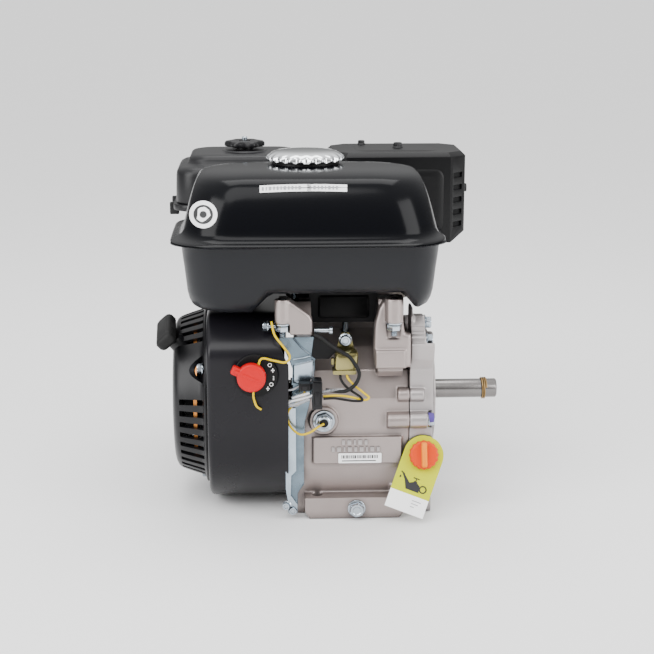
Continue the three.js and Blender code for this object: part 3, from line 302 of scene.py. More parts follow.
class Shape:
    """Collects closed lumps, in millimetres, and builds them as one piece."""

    def __init__(self, at=None):
        self.points, self.faces, self.at = [], [], at or upright()

    def loft(self, levels, at=None, start=True, end=True):
        """Joins levels of evenly matched points, with a face over the first and the last."""
        place = at or self.at
        base, count = len(self.points), len(levels[0])
        for level in levels:
            self.points.extend(place(p) for p in level)
        for row in range(len(levels) - 1):
            low, high = base + row * count, base + (row + 1) * count
            for k in range(count):
                after = (k + 1) % count
                self.faces.append((low + k, low + after, high + after, high + k))
        if start:
            self.faces.append(tuple(base + k for k in reversed(range(count))))
        if end:
            self.faces.append(tuple(base + (len(levels) - 1) * count + k for k in range(count)))
        return self

    def prism(self, outline, low, high, bevel=0.0, at=None):
        """An outline pulled from low to high with its two rims eased."""
        middle = Vector((sum(p[0] for p in outline), sum(p[1] for p in outline))) / len(outline)
        size = max((Vector(p) - middle).length for p in outline)
        levels = []
        for z, inset in ((low, bevel), (low + bevel * 0.3, bevel * 0.3), (low + bevel, 0),
                         (high - bevel, 0), (high - bevel * 0.3, bevel * 0.3), (high, bevel)):
            shrink = 1 - inset / size
            levels.append([(middle.x + (p[0] - middle.x) * shrink, middle.y + (p[1] - middle.y) * shrink, z)
                           for p in outline])
        return self.loft(levels if bevel else [levels[0], levels[-1]], at)

    def turned(self, profile, at=None, steps=48, closed=False):
        """Profile pairs are (distance along local Z, radius)."""
        levels = [flat(circle(max(radius, 0.01), steps), z) for z, radius in profile]
        if closed:
            levels.append(levels[0])
        return self.loft(levels, at, not closed, not closed)

    def tube(self, path, radius, steps=10, sides=12, at=None):
        """A round wire through the points, smoothed."""
        place = at or self.at
        points = spline([Vector(place(p)) for p in path], steps)
        levels, side = [], None
        for k, point in enumerate(points):
            ahead = points[min(k + 1, len(points) - 1)] - points[max(k - 1, 0)]
            ahead.normalize()
            if side is None:
                side = ahead.orthogonal().normalized()
            side = (side - ahead * side.dot(ahead)).normalized()
            other = ahead.cross(side)
            levels.append([point + (side * x + other * y) for x, y in circle(radius, sides)])
        return self.loft(levels, upright())

    def bolt(self, position, direction, width, shank):
        """A flanged hexagon head with an eased crown, and its stem behind the seat."""
        at = toward(position, direction, 0.3)
        self.turned([(0.3, 0.1), (0.3, width * 0.66), (1.1, width * 0.66), (1.9, width * 0.55), (1.9, 0.1)],
                    at)
        side = hexagon(width * 0.56, shares=(0, 0.25, 0.5, 0.75))
        crown = [tuple(Vector(p).normalized() * width * 0.47) for p in side]
        top = width * 0.5 + 1.4
        self.loft([flat(side, 1.2), flat(side, top - 0.9), flat(crown, top),
                   [(x * 0.7, y * 0.7, top) for x, y in crown],
                   [(x * 0.6, y * 0.6, top - 0.5) for x, y in crown]], at)
        self.turned([(-shank, width * 0.27), (1.5, width * 0.27)], at, 20)
        return self

    def solid(self, name="cutter", merge=False):
        """A new object of all the lumps, not yet in the scene."""
        mesh = bpy.data.meshes.new(name)
        mesh.from_pydata([tuple(Vector(p) * MM) for p in self.points], [], self.faces)
        work = bmesh.new()
        work.from_mesh(mesh)
        if merge:
            bmesh.ops.remove_doubles(work, verts=work.verts, dist=1e-6)
        bmesh.ops.recalc_face_normals(work, faces=work.faces)
        work.to_mesh(mesh)
        work.free()
        return bpy.data.objects.new(name, mesh)

    def build(self, name, material, body="root", nodes=(), sharp=32.0, slot=None):
        return settle(self.solid(name, merge=True), material, body, nodes, sharp, slot)


def settle(piece, material, body="root", nodes=(), sharp=32.0, slot=None):
    """Links a piece, gives it its finish and lets it ride on its body."""
    slot = slot or usual_slot(material)
    if piece.name not in bpy.context.scene.collection.objects:
        put(piece)
    mesh = piece.data
    mesh.materials.clear()
    mesh.materials.append(material)
    mesh.polygons.foreach_set("use_smooth", [True] * len(mesh.polygons))
    mesh.set_sharp_from_angle(angle=radians(sharp))
    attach(piece, body)
    if nodes:
        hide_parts(*nodes)
    return piece


def spline(points, steps):
    """A Catmull-Rom curve through the points."""
    ends = [points[0] * 2 - points[1], *points, points[-1] * 2 - points[-2]]
    made = []
    for k in range(1, len(ends) - 2):
        a, b, c, d = ends[k - 1:k + 3]
        for step in range(steps):
            t = step / steps
            made.append(0.5 * (2 * b + (c - a) * t + (2 * a - 5 * b + 4 * c - d) * t * t
                               + (3 * b - a - 3 * c + d) * t ** 3))
    made.append(points[-1].copy())
    return made


def baked(piece):
    """The piece's mesh with its modifiers worked in."""
    seen = piece.evaluated_get(bpy.context.evaluated_depsgraph_get())
    mesh = bpy.data.meshes.new_from_object(seen)
    piece.modifiers.clear()
    piece.data = mesh
    return piece


def copy_of(node):
    """A new piece with a CAD node's mesh."""
    return put(bpy.data.objects.new(node + "_shape", frame["nodes"][node].data.copy()))


def refined(node, material, body="root", voxel=1.1, rounds=4, keep=0.4):
    """A CAD node's shape with the eased edges of a casting or moulding."""
    piece = copy_of(node)
    skin = piece.modifiers.new("skin", "REMESH")
    skin.mode = "VOXEL"
    skin.voxel_size = voxel * MM
    soften = piece.modifiers.new("soften", "SMOOTH")
    soften.factor = 0.5
    soften.iterations = rounds
    thin = piece.modifiers.new("thin", "DECIMATE")
    thin.ratio = keep
    return settle(baked(piece), material, body, (node,), 50)


def bevelled(piece, width, segments=2, angle=35):
    """Eases the edges that are sharper than an angle, by a width in millimetres."""
    bevel = piece.modifiers.new("bevel", "BEVEL")
    bevel.width = width * MM
    bevel.segments = segments
    bevel.limit_method = "ANGLE"
    bevel.angle_limit = radians(angle)
    return baked(piece)


def eased(node, material, body="root", width=0.5):
    """A CAD node's shape with small bevelled edges."""
    return settle(bevelled(copy_of(node), width), material, body, (node,), 40)


def carve(piece, shape):
    """Cuts a shape's lumps out of the piece."""
    cutter = put(shape.solid())
    cut = piece.modifiers.new("cut", "BOOLEAN")
    cut.operation = "DIFFERENCE"
    cut.object = cutter
    cut.solver = "EXACT"
    baked(piece)
    bpy.data.objects.remove(cutter)


def on_shaft():
    """A new shape whose local +Z runs along the shaft's axis."""
    return Shape(across_x((0, 0, SHAFT_Z)))


# ---- Castings ----
refined("crankcase", CAST_CASE_PAINTED_SHADOW, voxel=1.0, rounds=5, keep=0.3)
refined("side_cover", CAST_COVER, voxel=1.0, rounds=5, keep=0.35)
refined("cylinder_head", CAST, voxel=1.0, rounds=3, keep=0.3)
refined("carburetor", CAST_COVER, voxel=0.8, rounds=4, keep=0.4)

# Raised label panel with blank raised bars and a paper strip on it.
panel = Shape(facing((0, -80.2, 0)))
panel.loft(stack(-41.5, 43.7, 54, 80.4, 1.5, ((-1, 0), (0.4, 0), (0.9, 0.5)), 4))
panel.build("label_panel", CAST)
bars = Shape(facing((0, -81.0, 0)))
for row, (start, widths) in enumerate(((-14, (3, 4, 2, 4, 3)), (-24, (3, 4, 2, 4, 3, 4, 2, 4, 3)))):
    x = start
    for width in widths:
        bars.loft(block(x, x + width, 73 - row * 7, 78 - row * 7, -0.3, 1.1, 0.3))
        x += width + 2.2
bars.build("label_bars", CAST_COVER)
strip = Shape(facing((0, -81.2, 0)))
strip.loft(slab(rounded(-17.6, 24.4, 54.6, 64.6, 1, 3), 0.4, 0.7))
strip.build("label_strip", PAPER)
marks = Shape(facing((0, -81.45, 0)))
x = -14.5
for k in range(22):
    width = (0.6, 1.1, 0.8, 1.5, 0.7)[k % 5]
    marks.loft(block(x, x + width, 59.3, 62.6, 0.4, 0.6, 0.04))
    x += width + (0.7, 0.5, 0.9)[k % 3]
marks.loft(block(-14, 19, 56.4, 57.4, 0.4, 0.6, 0.04))
marks.build("label_marks", INK)

# Rounded rectangular rib round the drive side of the cover.
rib = Shape(across_x())
outer = rounded(-58, 66, 34, 168, 20, 8)
inner = rounded(-54.5, 62.5, 37.5, 164.5, 17, 8)
rib.loft([flat(outer, 74), flat(outer, 75.3), [(x * 0.99, 101 + (y - 101) * 0.99, 76) for x, y in outer],
          [(x * 1.01, 101 + (y - 101) * 1.01, 76) for x, y in inner], flat(inner, 75.3), flat(inner, 74)],
         start=False, end=False)
rib.build("cover_rib", CAST_COVER)


# ---- Fasteners ----
def bolt(name, position, direction, width, shank, nodes=(), material=BOLT):
    return Shape().bolt(position, direction, width, shank).build(name, material, nodes=nodes)


bolt("cover_bolt_1", (69, -78, 96.4), (1, 0, 0), 11, 12, nodes=("side_cover_bolt_1",))
dab = Shape(across_x((0, -79.6, 98.6)))
dab.turned([(69.6, 0.1), (69.6, 5.2), (74.6, 4.9), (75.4, 3.6), (75.4, 0.1)], steps=20)
dab.build("paint_mark", INK_VIOLET)
bolt("cover_bolt_2", (66, -76, 175.5), (1, 0, 0), 11, 12, nodes=("side_cover_bolt_2",))
for index, (height, y, z) in enumerate(((66, -4, 176), (70, 52, 146), (74.5, 66, 40), (65, -68, 191))):
    bolt(f"cover_bolt_{index + 3}", (height, y, z), (1, 0, 0), 11, 3)
bolt("sump_plug", (0, -87, 10), (0, -1, 0), 13, 12, nodes=("drain_plug",))
for side, x in (("left", -71), ("right", 34)):
    nut = Shape(upright((x, -96, 0)))
    nut.turned([(197.9, 7.6), (196.9, 7.6), (196.3, 6.8)], steps=32)
    nut.prism(hexagon(6.9, 0.25), 190.4, 196.6, 0.7)
    thread = [(185.6 + k * 0.55, 3.3 if k % 2 else 2.9) for k in range(10)]
    nut.turned([(184.6, 2.4), (185.2, 3.3), *thread, (221, 3.3)], steps=24)
    nut.build(f"tank_nut_{side}_detail", BOLT, nodes=(f"tank_nut_{side}",))
bolt("guard_bolt", (57, 140, 335), (0, 0, 1), 9, 6, material=PLASTIC)
bolt("guard_bolt_rear", (20, 172, 335), (0, 0, 1), 7, 6, material=PLASTIC)
bolt("guard_side_bolt", (126, 140, 292), (1, 0, 0), 9, 6, material=PLASTIC)
bolt("alert_bolt", (-11.2, -82, 178), (0, -1, 0), 9.5, 1)
for index, angle in enumerate((30, 150, 270)):
    y, z = 86 * cos(radians(angle)), SHAFT_Z + 86 * sin(radians(angle))
    bolt(f"starter_bolt_{index + 1}", (-147.0, y, z), (-1, 0, 0), 8.5, 5)

# ---- Drive shaft ----
shaft = on_shaft()
shaft.turned([(-62, 12.5), (-13.5, 12.5), (-13.5, 0.1)])
shaft.turned([(-114, 9.2), (-113, 9.6), (-61, 10.4)])
shaft.turned([(-26.5, 16), (-26.5, 41), (-13.5, 41), (-13.5, 16)])
shaft.turned([(5.5, 16), (5.5, 41), (18.5, 41), (18.5, 16)])
shaft.turned([(-14, 13.7), (6, 13.7)], across_x((0, 27 * cos(TILT), SHAFT_Z + 27 * sin(TILT))))
shaft.turned([(5.5, 12.5), (78.4, 12.5), (78.8, 12.1), (78.8, 9.6)])
shaft.turned([(30, 22), (38, 22)], steps=60)
rod_end = on_shaft()
rod_end.turned([(78, 9.525), (145.6, 9.525), (146.4, 9.2), (147, 8.5), (147, 4.3), (146, 3.4), (126, 3.3),
                (125, 0.1)])
output = put(rod_end.solid("shaft_end.001"))
keyway = Shape()
keyway.loft(block(85, 150, 7.1, 12, 103.6, 108.4, 0.05))
carve(output, keyway)
settle(output, STEEL, "crank", ("crankshaft",), 32)
shaft.build("crankshaft_body", STEEL, "crank", ("crankshaft",))
wire = on_shaft()
coils = [(10.5 * cos(a), 10.5 * sin(a), 131.6 + a * 0.32) for a in
         [k * tau / 24 for k in range(60)]]
wire.tube([(*coils[0][:2], 131.4), *coils[1:]], 0.75, 1, 8)
wire.build("key_wire", BRASS, "crank")
face_ring = on_shaft()
face_ring.turned([(78.9, 21.4), (78.9, 13), (78, 13), (78, 21.4)], closed=True)
face_ring.build("seal_lip", RUBBER, nodes=("drive_seal",))

# ---- Fuel tank ----
LEFT, RIGHT, FRONT, REAR = -164.0, 75.5, -120.0, 38.0
RIGHT_FLANGE = 5.4
CAP_X, CAP_Y = -47, -22


def outline_at(inset, z, radius, bow=2.5, inset_y=None):
    """Evenly matched points at every level: corners of 14 steps and straight runs of 16."""
    inset_y = inset if inset_y is None else inset_y
    x0, x1, y0, y1 = LEFT + inset, RIGHT - max(inset, -RIGHT_FLANGE), FRONT + inset_y, REAR - inset_y
    radius = min(radius, (y1 - y0) / 2 - 0.5)
    ring = rounded(x0, x1, y0, y1, radius, 14)
    made = []
    for k, here in enumerate(ring):
        made.append(here)
        if k % 15 == 14:
            after = ring[(k + 1) % len(ring)]
            made.extend([(here[0] + (after[0] - here[0]) * t / 16, here[1] + (after[1] - here[1]) * t / 16)
                         for t in range(1, 16)])
    half_x, half_y = (x1 - x0) / 2, (y1 - y0) / 2
    result = []
    for x, y in made:
        u, v = (x - (x0 + x1) / 2) / half_x, (y - (y0 + y1) / 2) / half_y
        result.append((x + bow * 0.5 * u * (1 - v * v), y + bow * v * (1 - u * u), z))
    return result


upper_profile = [(275.4, -8.4, -7.6), (275.7, -9.2, -8.3), (276.4, -9.6, -8.6), (277.2, -8.6, -7.8),
                 (278.2, -6, -5),
                 (279.6, -2.8, -2.4), (281.2, -0.4, -0.4), (283.4, 1.0, 1.0), (286.4, 2.0, 2.0),
                 (290, 2.8, 2.8),
                 (298, 4.8, 4.8), (306, 6.8, 6.8), (314, 9.0, 9.2), (321, 11.2, 12), (327, 13.6, 15.4),
                 (331, 15.6, 19), (334, 18.0, 24), (336.2, 21.5, 31), (337.8, 27, 39), (338.8, 36, 48),
                 (339.3, 50, 57), (339.5, 72, 66), (339.6, 100, 74)]
tank_top = Shape()
tank_top.loft([outline_at(ix, z, 40 + max(ix, 0) * 0.1, 2.5, iy) for z, ix, iy in upper_profile])
upper = tank_top.build("tank_upper", GLOSS, nodes=("fuel_tank",), sharp=45)


def tank_floor(x):
    """Height of the tank's underside: raised over the engine, low at both ends."""
    def ease(a, b):
        t = min(max((x - a) / (b - a), 0), 1)
        return t * t * (3 - 2 * t)
    return 208.4 + 18 * (ease(-101, -84) - ease(40, 57))


lower_profile = [(0, -9.2, -7.6), (0.02, -3, -3), (0.04, 0, 0), (0.08, 0.8, 0.8), (0.2, 1.6, 1.6),
                 (0.37, 3.0, 3.0),
                 (0.55, 4.2, 4.6), (0.7, 5.2, 6.4), (0.81, 6.8, 8.8), (0.9, 9.4, 12), (0.95, 13.0, 16.4),
                 (0.98, 17, 21),
                 (1.0, 23, 27), (1.0, 36, 38), (1.0, 50, 50), (1.0, 90, 70)]
tank_low = Shape()
levels = []
for share, inset, inset_y in lower_profile:
    level = outline_at(inset, 0, 28, 2.5, inset_y)
    levels.append([(x, y, 275.6 - (275.6 - tank_floor(x)) * share) for x, y, _ in level])
tank_low.loft(levels)
tank_low.build("tank_lower", SATIN, nodes=("fuel_tank",), sharp=45)

neck = Shape(upright((CAP_X, CAP_Y, 0)))
neck.turned([(334, 46), (336.6, 42), (338, 37), (338.8, 34), (339.6, 32.4), (342, 31.8), (342.4, 31),
             (342.4, 22)])
neck.build("tank_neck", DARK, slot="gloss_black", nodes=("fuel_tank",))

cap = Shape(upright((CAP_X, CAP_Y, 0)))
cap.loft([waved(radius, wave, 22, z, 176, lift=0.25) for z, radius, wave in (
    (342.2, 31, 0), (342.0, 34.5, 0.5), (342.6, 36.2, 1.2), (344.4, 36.4, 1.5), (346.4, 35.9, 1.2),
    (348.0, 34.8, 0.5), (349.2, 33.2, 0.1), (350.4, 30.8, 0), (351.3, 28, 0), (352.0, 20, 0),
    (352.3, 10, 0), (352.4, 0.5, 0))])
cap.build("cap_crimped", CHROME, "fuel_cap", ("fuel_cap",), 60)


# ---- Fan cover ----
def scroll_radius(angle, inset):
    """Distance from the shaft axis to the cover's outside, in (y, z)."""
    radius = 104 - inset
    corners = [(-radius, 106), (-radius, 174 - inset * 0.4), (-76 + inset * 0.4, 202 - inset),
               (60, 202 - inset),
               (112 - inset, 184 - inset / 2), (112 - inset, 70 + inset / 2),
               (radius * cos(radians(322)), 106 + radius * sin(radians(322)))]
    dy, dz = cos(angle), sin(angle)
    best = None
    for (ay, az), (by, bz) in zip(corners, corners[1:]):
        az, bz = az - SHAFT_Z, bz - SHAFT_Z
        ey, ez = by - ay, bz - az
        across = dy * ez - dz * ey
        if abs(across) < 1e-9:
            continue
        reach = (ay * ez - az * ey) / across
        share = (ay * dz - az * dy) / across
        if reach > 0 and -1e-6 <= share <= 1 + 1e-6:
            best = reach if best is None else min(best, reach)
    return best or radius


FAN_STEPS = 240


def ring_level(x, radii):
    """A level round the shaft from its distances at even angles."""
    made = []
    for k, radius in enumerate(radii):
        angle = k * tau / FAN_STEPS
        made.append((x, radius * cos(angle), SHAFT_Z + radius * sin(angle)))
    return made


def scroll_level(x, inset):
    """The scroll's outline with its corners eased by averaging neighbours."""
    radii = [scroll_radius(k * tau / FAN_STEPS, inset) for k in range(FAN_STEPS)]
    for _ in range(5):
        radii = [(radii[k - 1] + radii[k] + radii[(k + 1) % FAN_STEPS]) / 3 for k in range(FAN_STEPS)]
    return ring_level(x, radii)


def round_level(x, radius):
    return ring_level(x, [radius] * FAN_STEPS)


fan = Shape()
quarter = [(5 - 5 * sin(radians(a)), 5 - 5 * cos(radians(a))) for a in range(0, 91, 15)]
fan.loft([round_level(-141.5, 72), round_level(-143, 73), round_level(-143, 80),
          *[scroll_level(-143 + dx, inset) for inset, dx in quarter],
          scroll_level(-100, 0), scroll_level(-68.5, 0), scroll_level(-67, -1.2), scroll_level(-66, -1.2),
          scroll_level(-66, 1.6), scroll_level(-100, 1.8), scroll_level(-132, 2), scroll_level(-139, 9),
          round_level(-141, 78), round_level(-141.5, 72)], start=False, end=False)
fan_piece = put(fan.solid("fan_housing"))
notch = Shape(facing())
notch.prism([(-60, 157), (-66.4, 160), (-70, 168), (-73.4, 177), (-76.6, 188), (-78, 215), (-60, 215)], 86,
            125)
carve(fan_piece, notch)
settle(fan_piece, FAN_PAINT, "root", ("fan_cover",), 40)

# ---- Recoil starter ----
drum = on_shaft()
drum.turned([(-143.4, 80), (-143.4, 90), (-144, 90.6), (-145.4, 90.6), (-146.2, 89.8), (-146.6, 87),
             (-148, 84.6),
             (-152, 83.0), (-160, 80.4), (-168, 77.6), (-171.6, 76.0), (-174.2, 73.8), (-176, 70.4),
             (-177.1, 66.4),
             (-177.6, 60), (-178, 50), (-178, 24), (-177, 22), (-177, 0.1), (-175, 0.1), (-175, 60),
             (-173.8, 67),
             (-171.5, 71.4), (-166, 74.8), (-150, 80)], steps=180)
shell = put(drum.solid("recoil_shell"))
openings = Shape()
for sector in (30, 150, 270):
    for index in range(10):
        angle = radians(sector + 60 + (index - 4.5) * 8.4)
        spin = Matrix.Rotation(angle, 3, "X")
        openings.loft(swung(block(-170.5, -147.6, 60, 100, -2.75, 2.75, 0.6), spin, (0, 0, SHAFT_Z)))
    bowl = [[(x, 90 + a, b * 1.05) for a, b in circle(r, 32)]
            for x, r in ((-190, 2), (-180, 2.6), (-170, 6), (-160, 10), (-152, 13), (-147.4, 15))]
    openings.loft(swung(bowl, spun(sector, "X"), (0, 0, SHAFT_Z)))
for index in range(8):
    spin = spun(index * 45 + 22.5, "X")
    openings.loft(swung(block(-190, -170, 34, 58, -4, 4, 0.8), spin, (0, 0, SHAFT_Z)))
carve(shell, openings)
settle(shell, PLASTIC, "root", ("recoil_cover",), 40)
PULL = Vector((-0.68, -0.12, 0.72)).normalized()
GUIDE = Vector((-174, -40, 168))
guide = Shape(toward(GUIDE, PULL))
guide.turned([(-8, 3.2), (-8, 9), (1, 8.4), (2.6, 7.4), (3, 6), (2, 4), (-6, 3.4)], closed=True)
guide.build("rope_guide", PLASTIC)
band = on_shaft()
band.turned([(-156.8, 77.4), (-153.4, 78.4), (-153.4, 76.4), (-156.8, 75.4)], closed=True, steps=96)
band.build("screen_band", COPPER)
hub = on_shaft()
hub.turned([(-178.4, 0.1), (-178.4, 9), (-177.6, 10), (-176, 10)])
hub.build("starter_hub", ZINC)

grip = Shape(toward(GUIDE, PULL))
grip.loft(stack(-9.5, 9.5, -30, 30, 5, ((7, 4), (7.8, 2), (9.2, 0.6), (11, 0), (16, 0), (17.8, 0.6),
                                        (19.2, 2),
                                        (20, 4)), 8, 0.6))
grip.turned([(3.3, 4), (3.3, 7), (5, 8), (9, 9.5)])
for side in (-1, 1):
    for index in range(4):
        y = side * (10 + index * 5)
        grip.loft(slab(rounded(-9.9, 9.9, y - 1, y + 1, 0.9, 4), 10.5, 16.5))
grip.build("grip_handle", RUBBER, "grip", ("starter_grip",), 45)
rope = Shape()
rope_start, rope_end = GUIDE - PULL * 14, GUIDE + PULL * 17
side = PULL.orthogonal().normalized()
other = PULL.cross(side)
ROPE_LEVELS, ROPE_SIDES = 60, 18
levels = []
for k in range(ROPE_LEVELS):
    t = k / (ROPE_LEVELS - 1)
    middle = rope_start.lerp(rope_end, t)
    level = []
    for a in [n * tau / ROPE_SIDES for n in range(ROPE_SIDES)]:
        swell = 2.1 + 0.25 * cos(3 * a + t * 40)
        level.append(middle + (side * cos(a) + other * sin(a)) * swell)
    levels.append(level)
rope.loft(levels)
rope_piece = rope.build("rope_laid", RUBBER, "grip", ("starter_rope",), 60)
rope_piece.parent = None
rope_piece.matrix_world = Matrix.Identity(4)
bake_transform(rope_piece)

# ---- Air cleaner ----
CLEANER_X, CLEANER_Y = -107, 140
cleaner = Shape()
cleaner.loft([flat(rounded(-179 + inset, -36 - inset, 84 + inset, 200 - inset, radius), z)
              for inset, z, radius in (
                  (2.4, 283.4, 20), (0.6, 283.4, 21), (0, 284.6, 22), (0.2, 300, 22), (0.6, 312, 22),
                  (1.4, 316.5, 22), (3.4, 319.4, 21), (7, 321.4, 20), (11.5, 322.6, 20), (13, 324.2, 20),
                  (13.8, 327.5, 20), (15, 330.2, 20), (17.6, 332.2, 19), (22, 333.2, 18), (32, 333.6, 14),
                  (45, 333.7, 8))])
cleaner.loft(stack(CLEANER_X - 25, CLEANER_X + 25, CLEANER_Y - 25, CLEANER_Y + 25, 24.9,
                   ((333.2, 0), (334.4, 1), (334.8, 2.5), (334.8, 10)), 12, 1))
cleaner.build("cleaner_lid", PLASTIC, nodes=("air_cleaner_cover",), sharp=50)
base = Shape()
base.loft(stack(-182, -33, 81, 203, 23, ((276, 1.2), (276.4, 0.3), (277.2, 0), (281.6, 0), (282.5, 0.4),
                                         (282.9, 1.4)), 10))
for x, y in ((-160, 81), (-60, 81), (-182, 120), (-182, 165)):
    base.loft(block(x - 5, x + 5, y - 1.4, y + 4, 268, 281, 1))
stud = Shape(upright((CLEANER_X, CLEANER_Y, 0)))
stud.turned([(280, 3), (347.4, 3), (348, 2.4), (348, 0.1)], steps=20)
base.build("cleaner_base", PLASTIC, nodes=("air_cleaner_base",))
stud.build("cleaner_stud", BOLT)
eased("air_filter_element", FOAM, width=1.0)
knob = Shape(upright((CLEANER_X, CLEANER_Y, 2)))
knob.loft([waved(radius, depth, 6, z, 120) for radius, z, depth in (
    (17.6, 335.6, 1.4), (19.3, 336.2, 1.7), (19.6, 337.4, 1.9), (19.4, 340.0, 1.9), (18.2, 341.6, 1.6),
    (15.5, 342.2, 1.0), (10.6, 342.3, 0), (9.4, 341.4, 0), (6.2, 341.2, 0), (5.6, 342.6, 0),
    (4.4, 342.8, 0))])
knob.turned([(331.6, 9), (336, 9.4)])
knob.build("cleaner_knob_lobed", PLASTIC, "cleaner_knob", ("air_cleaner_knob",), 40)

# ---- Muffler and its guard ----
GUARD_LEFT, GUARD_RIGHT, GUARD_FRONT, GUARD_REAR = -18.0, 126.0, 92.0, 190.0
GUARD_CORNER = 17.0


def guard_level(z, inset):
    """A rectangle with cut corners."""
    x0, x1 = GUARD_LEFT + inset, GUARD_RIGHT - inset
    y0, y1 = GUARD_FRONT + inset, GUARD_REAR - inset
    c = GUARD_CORNER - inset * 0.4
    return flat([(x0 + c, y0), (x1 - c, y0), (x1, y0 + c), (x1, y1 - c),
                 (x1 - c, y1), (x0 + c, y1), (x0, y1 - c), (x0, y0 + c)], z)


guard = Shape()
guard.loft([guard_level(240, 0), guard_level(330.5, 0), guard_level(335, 4.5)])
shell = put(guard.solid("guard_shell"))
hollow = Shape()
hollow.loft([guard_level(200, 1.8), guard_level(329.5, 1.8), guard_level(333, 5)])
half = GUARD_CORNER / 2
for side, middle_y in ((-1, GUARD_FRONT + half), (1, GUARD_REAR - half)):
    spin = spun(-45 * side, "Z")
    for index in range(5):
        hollow.loft(swung(block(-7.2, 7.2, -8, 8, 0, 5.6, 0.5), spin,
                          (GUARD_RIGHT - half, middle_y, 256 + index * 13)))
for index in range(6):
    hollow.loft(block(4 + index * 17, 15 + index * 17, 180, 200, 262, 300, 1.5))
carve(shell, hollow)
corner = Shape()
corner.loft([[(110, y, 240), (128, y, 251.3), (128, y, 200), (110, y, 200)] for y in (60, 240)])
carve(shell, corner)
settle(bevelled(shell, 1.2, 3, 28), GUARD_PAINT, "root", ("muffler_guard",), 38)
press = Shape(facing((0, GUARD_FRONT, 0)))
press.loft(stack(4, 102, 252, 318, 9, ((-1, 0), (0.3, 0.4), (1.3, 2.0), (1.3, 8))))
press.loft(stack(10, 98, 108, 174, 12, ((-1, 0), (0.4, 0.4), (1.2, 2.0), (1.2, 8))), upright((0, 0, 334.6)))
press.build("guard_pressing", GUARD_PAINT, sharp=40)
refined("muffler", IRON, voxel=1.4, rounds=3, keep=0.4)

# ---- Ignition switch, its dial and generic symbols ----
SWITCH = (-100.5, -104, 151)
DIAL_X, DIAL_Z = SWITCH[0] + 4, SWITCH[2] - 1
SIGNS_Y, SIGNS_RADIUS = SWITCH[1] - 3.05, 16.8
dial = Shape(facing(SWITCH))
dial.turned([(0.3, 0.1), (0.3, 20.6), (2.4, 20.6), (3, 20), (3, 0.1)],
            facing((DIAL_X, SWITCH[1], DIAL_Z)))
dial.turned([(-20, 8.4), (1, 8.4)])
dial.turned([(2.9, 7.4), (4.6, 7.2)])
dial.build("switch_dial", DARK, nodes=("switch_body",))
red = Shape(facing(SWITCH))
red.turned([(3.4, 6), (8.4, 6), (8.5, 12.6), (9.2, 13.5), (10.4, 13.7), (15.0, 13.5), (16.4, 12.9),
            (17, 11.8),
            (17.1, 8), (16.9, 0.1)], steps=72)
tab_spin = spun(155, "Z")
red.loft(swung(block(6, 20, -4.2, 4.2, 9, 16.2, 1.2), tab_spin))
red.loft(swung(block(-10, 17, -1.4, 1.4, 16.6, 17.4, 0.3), tab_spin))
red.build("switch_knob_round", RED, "ignition_switch", ("switch_knob",), 40)
signs = Shape(facing((DIAL_X, SIGNS_Y, DIAL_Z)))
for angle, kind in ((38, "ring"), (18, "bar"), (-8, "dots"), (-30, "ring"), (-48, "bar")):
    x, y = SIGNS_RADIUS * cos(radians(angle)), SIGNS_RADIUS * sin(radians(angle))
    if kind == "ring":
        signs.turned([(0, 1.9), (0, 1.4), (0.15, 1.4), (0.15, 1.9)],
                     facing((DIAL_X + x, SIGNS_Y, DIAL_Z + y)), 20, closed=True)
    elif kind == "bar":
        signs.loft(block(x - 0.4, x + 0.4, y - 2, y + 2, 0, 0.15, 0.05))
        signs.loft(block(x - 1.6, x + 1.6, y - 0.4, y + 0.4, 0, 0.15, 0.05))
    else:
        for step in (-1.5, 0, 1.5):
            signs.loft(block(x - 0.5, x + 0.5, y + step - 0.4, y + step + 0.4, 0, 0.15, 0.05))
signs.build("dial_signs", PAPER)

# ---- Oil cap and tag ----
filler_at = toward((65, -83, 62), (0, -0.94, 0.342))
oil = Shape(filler_at)
oil.loft([waved(radius, wave, 16, z, 128) for z, radius, wave in (
    (2.3, 12.6, 0), (2.4, 13.6, 0.3), (3.2, 13.9, 0.45), (8.0, 13.7, 0.45), (8.9, 12.9, 0.2), (9.2, 11.4, 0),
    (8.7, 9, 0), (8.6, 4, 0))])
oil.turned([(-16, 8.9), (3, 8.9)])
oil.turned([(-58, 1.2), (-57, 2.5), (-15, 2.5)], steps=16)
oil.build("oil_cap_disc", ORANGE, "oil_cap", ("oil_cap",), 50)
# The grip ridge takes the lighter orange, a painted highlight.
ridge = Shape(filler_at)
ridge.loft(stack(-2.9, 2.9, -12.4, 12.4, 2.4, ((8, 0), (11.6, 0.2), (12.6, 0.8), (13, 1.6)), 6, 1))
ridge.build("oil_cap_ridge", ORANGE_PAINTED_HIGHLIGHT, "oil_cap")

TAG_HALF, TAG_HOLE = 19.5, 10.4
tag_spin = spun(-20, "X") @ spun(21, "Y")


def on_tag(depth):
    """Local (across, along, out) of the hanging card, gently curled."""
    def place(p):
        curl = 0.00096 * min(p[1] + 20, 0) ** 2
        return tag_spin @ Vector((p[0], -depth - p[2] - curl, p[1])) + Vector((65, -84, 62))
    return place


def reach(y):
    """Half the card's width, which is round above its middle."""
    return TAG_HALF if y <= 0 else sqrt(max(TAG_HALF ** 2 - y * y, 0.01))


def hole(y):
    """Half the width of the card's hole."""
    return sqrt(TAG_HOLE ** 2 - y * y) if abs(y) < TAG_HOLE else 0


def card(low, high, name, material, nodes=()):
    """A band of the card between two heights, its upper end round and holed."""
    made = Shape(on_tag(0))
    steps = 60
    for k in range(steps):
        y0, y1 = low + (high - low) * k / steps, low + (high - low) * (k + 1) / steps
        r0, h0, r1, h1 = reach(y0), hole(y0), reach(y1), hole(y1)
        for sign in (-1, 1):
            made.loft(slab([(sign * h0, y0), (sign * r0, y0), (sign * r1, y1), (sign * h1, y1)], 0, 0.5))
    return made.build(name, material, nodes=nodes, sharp=60)


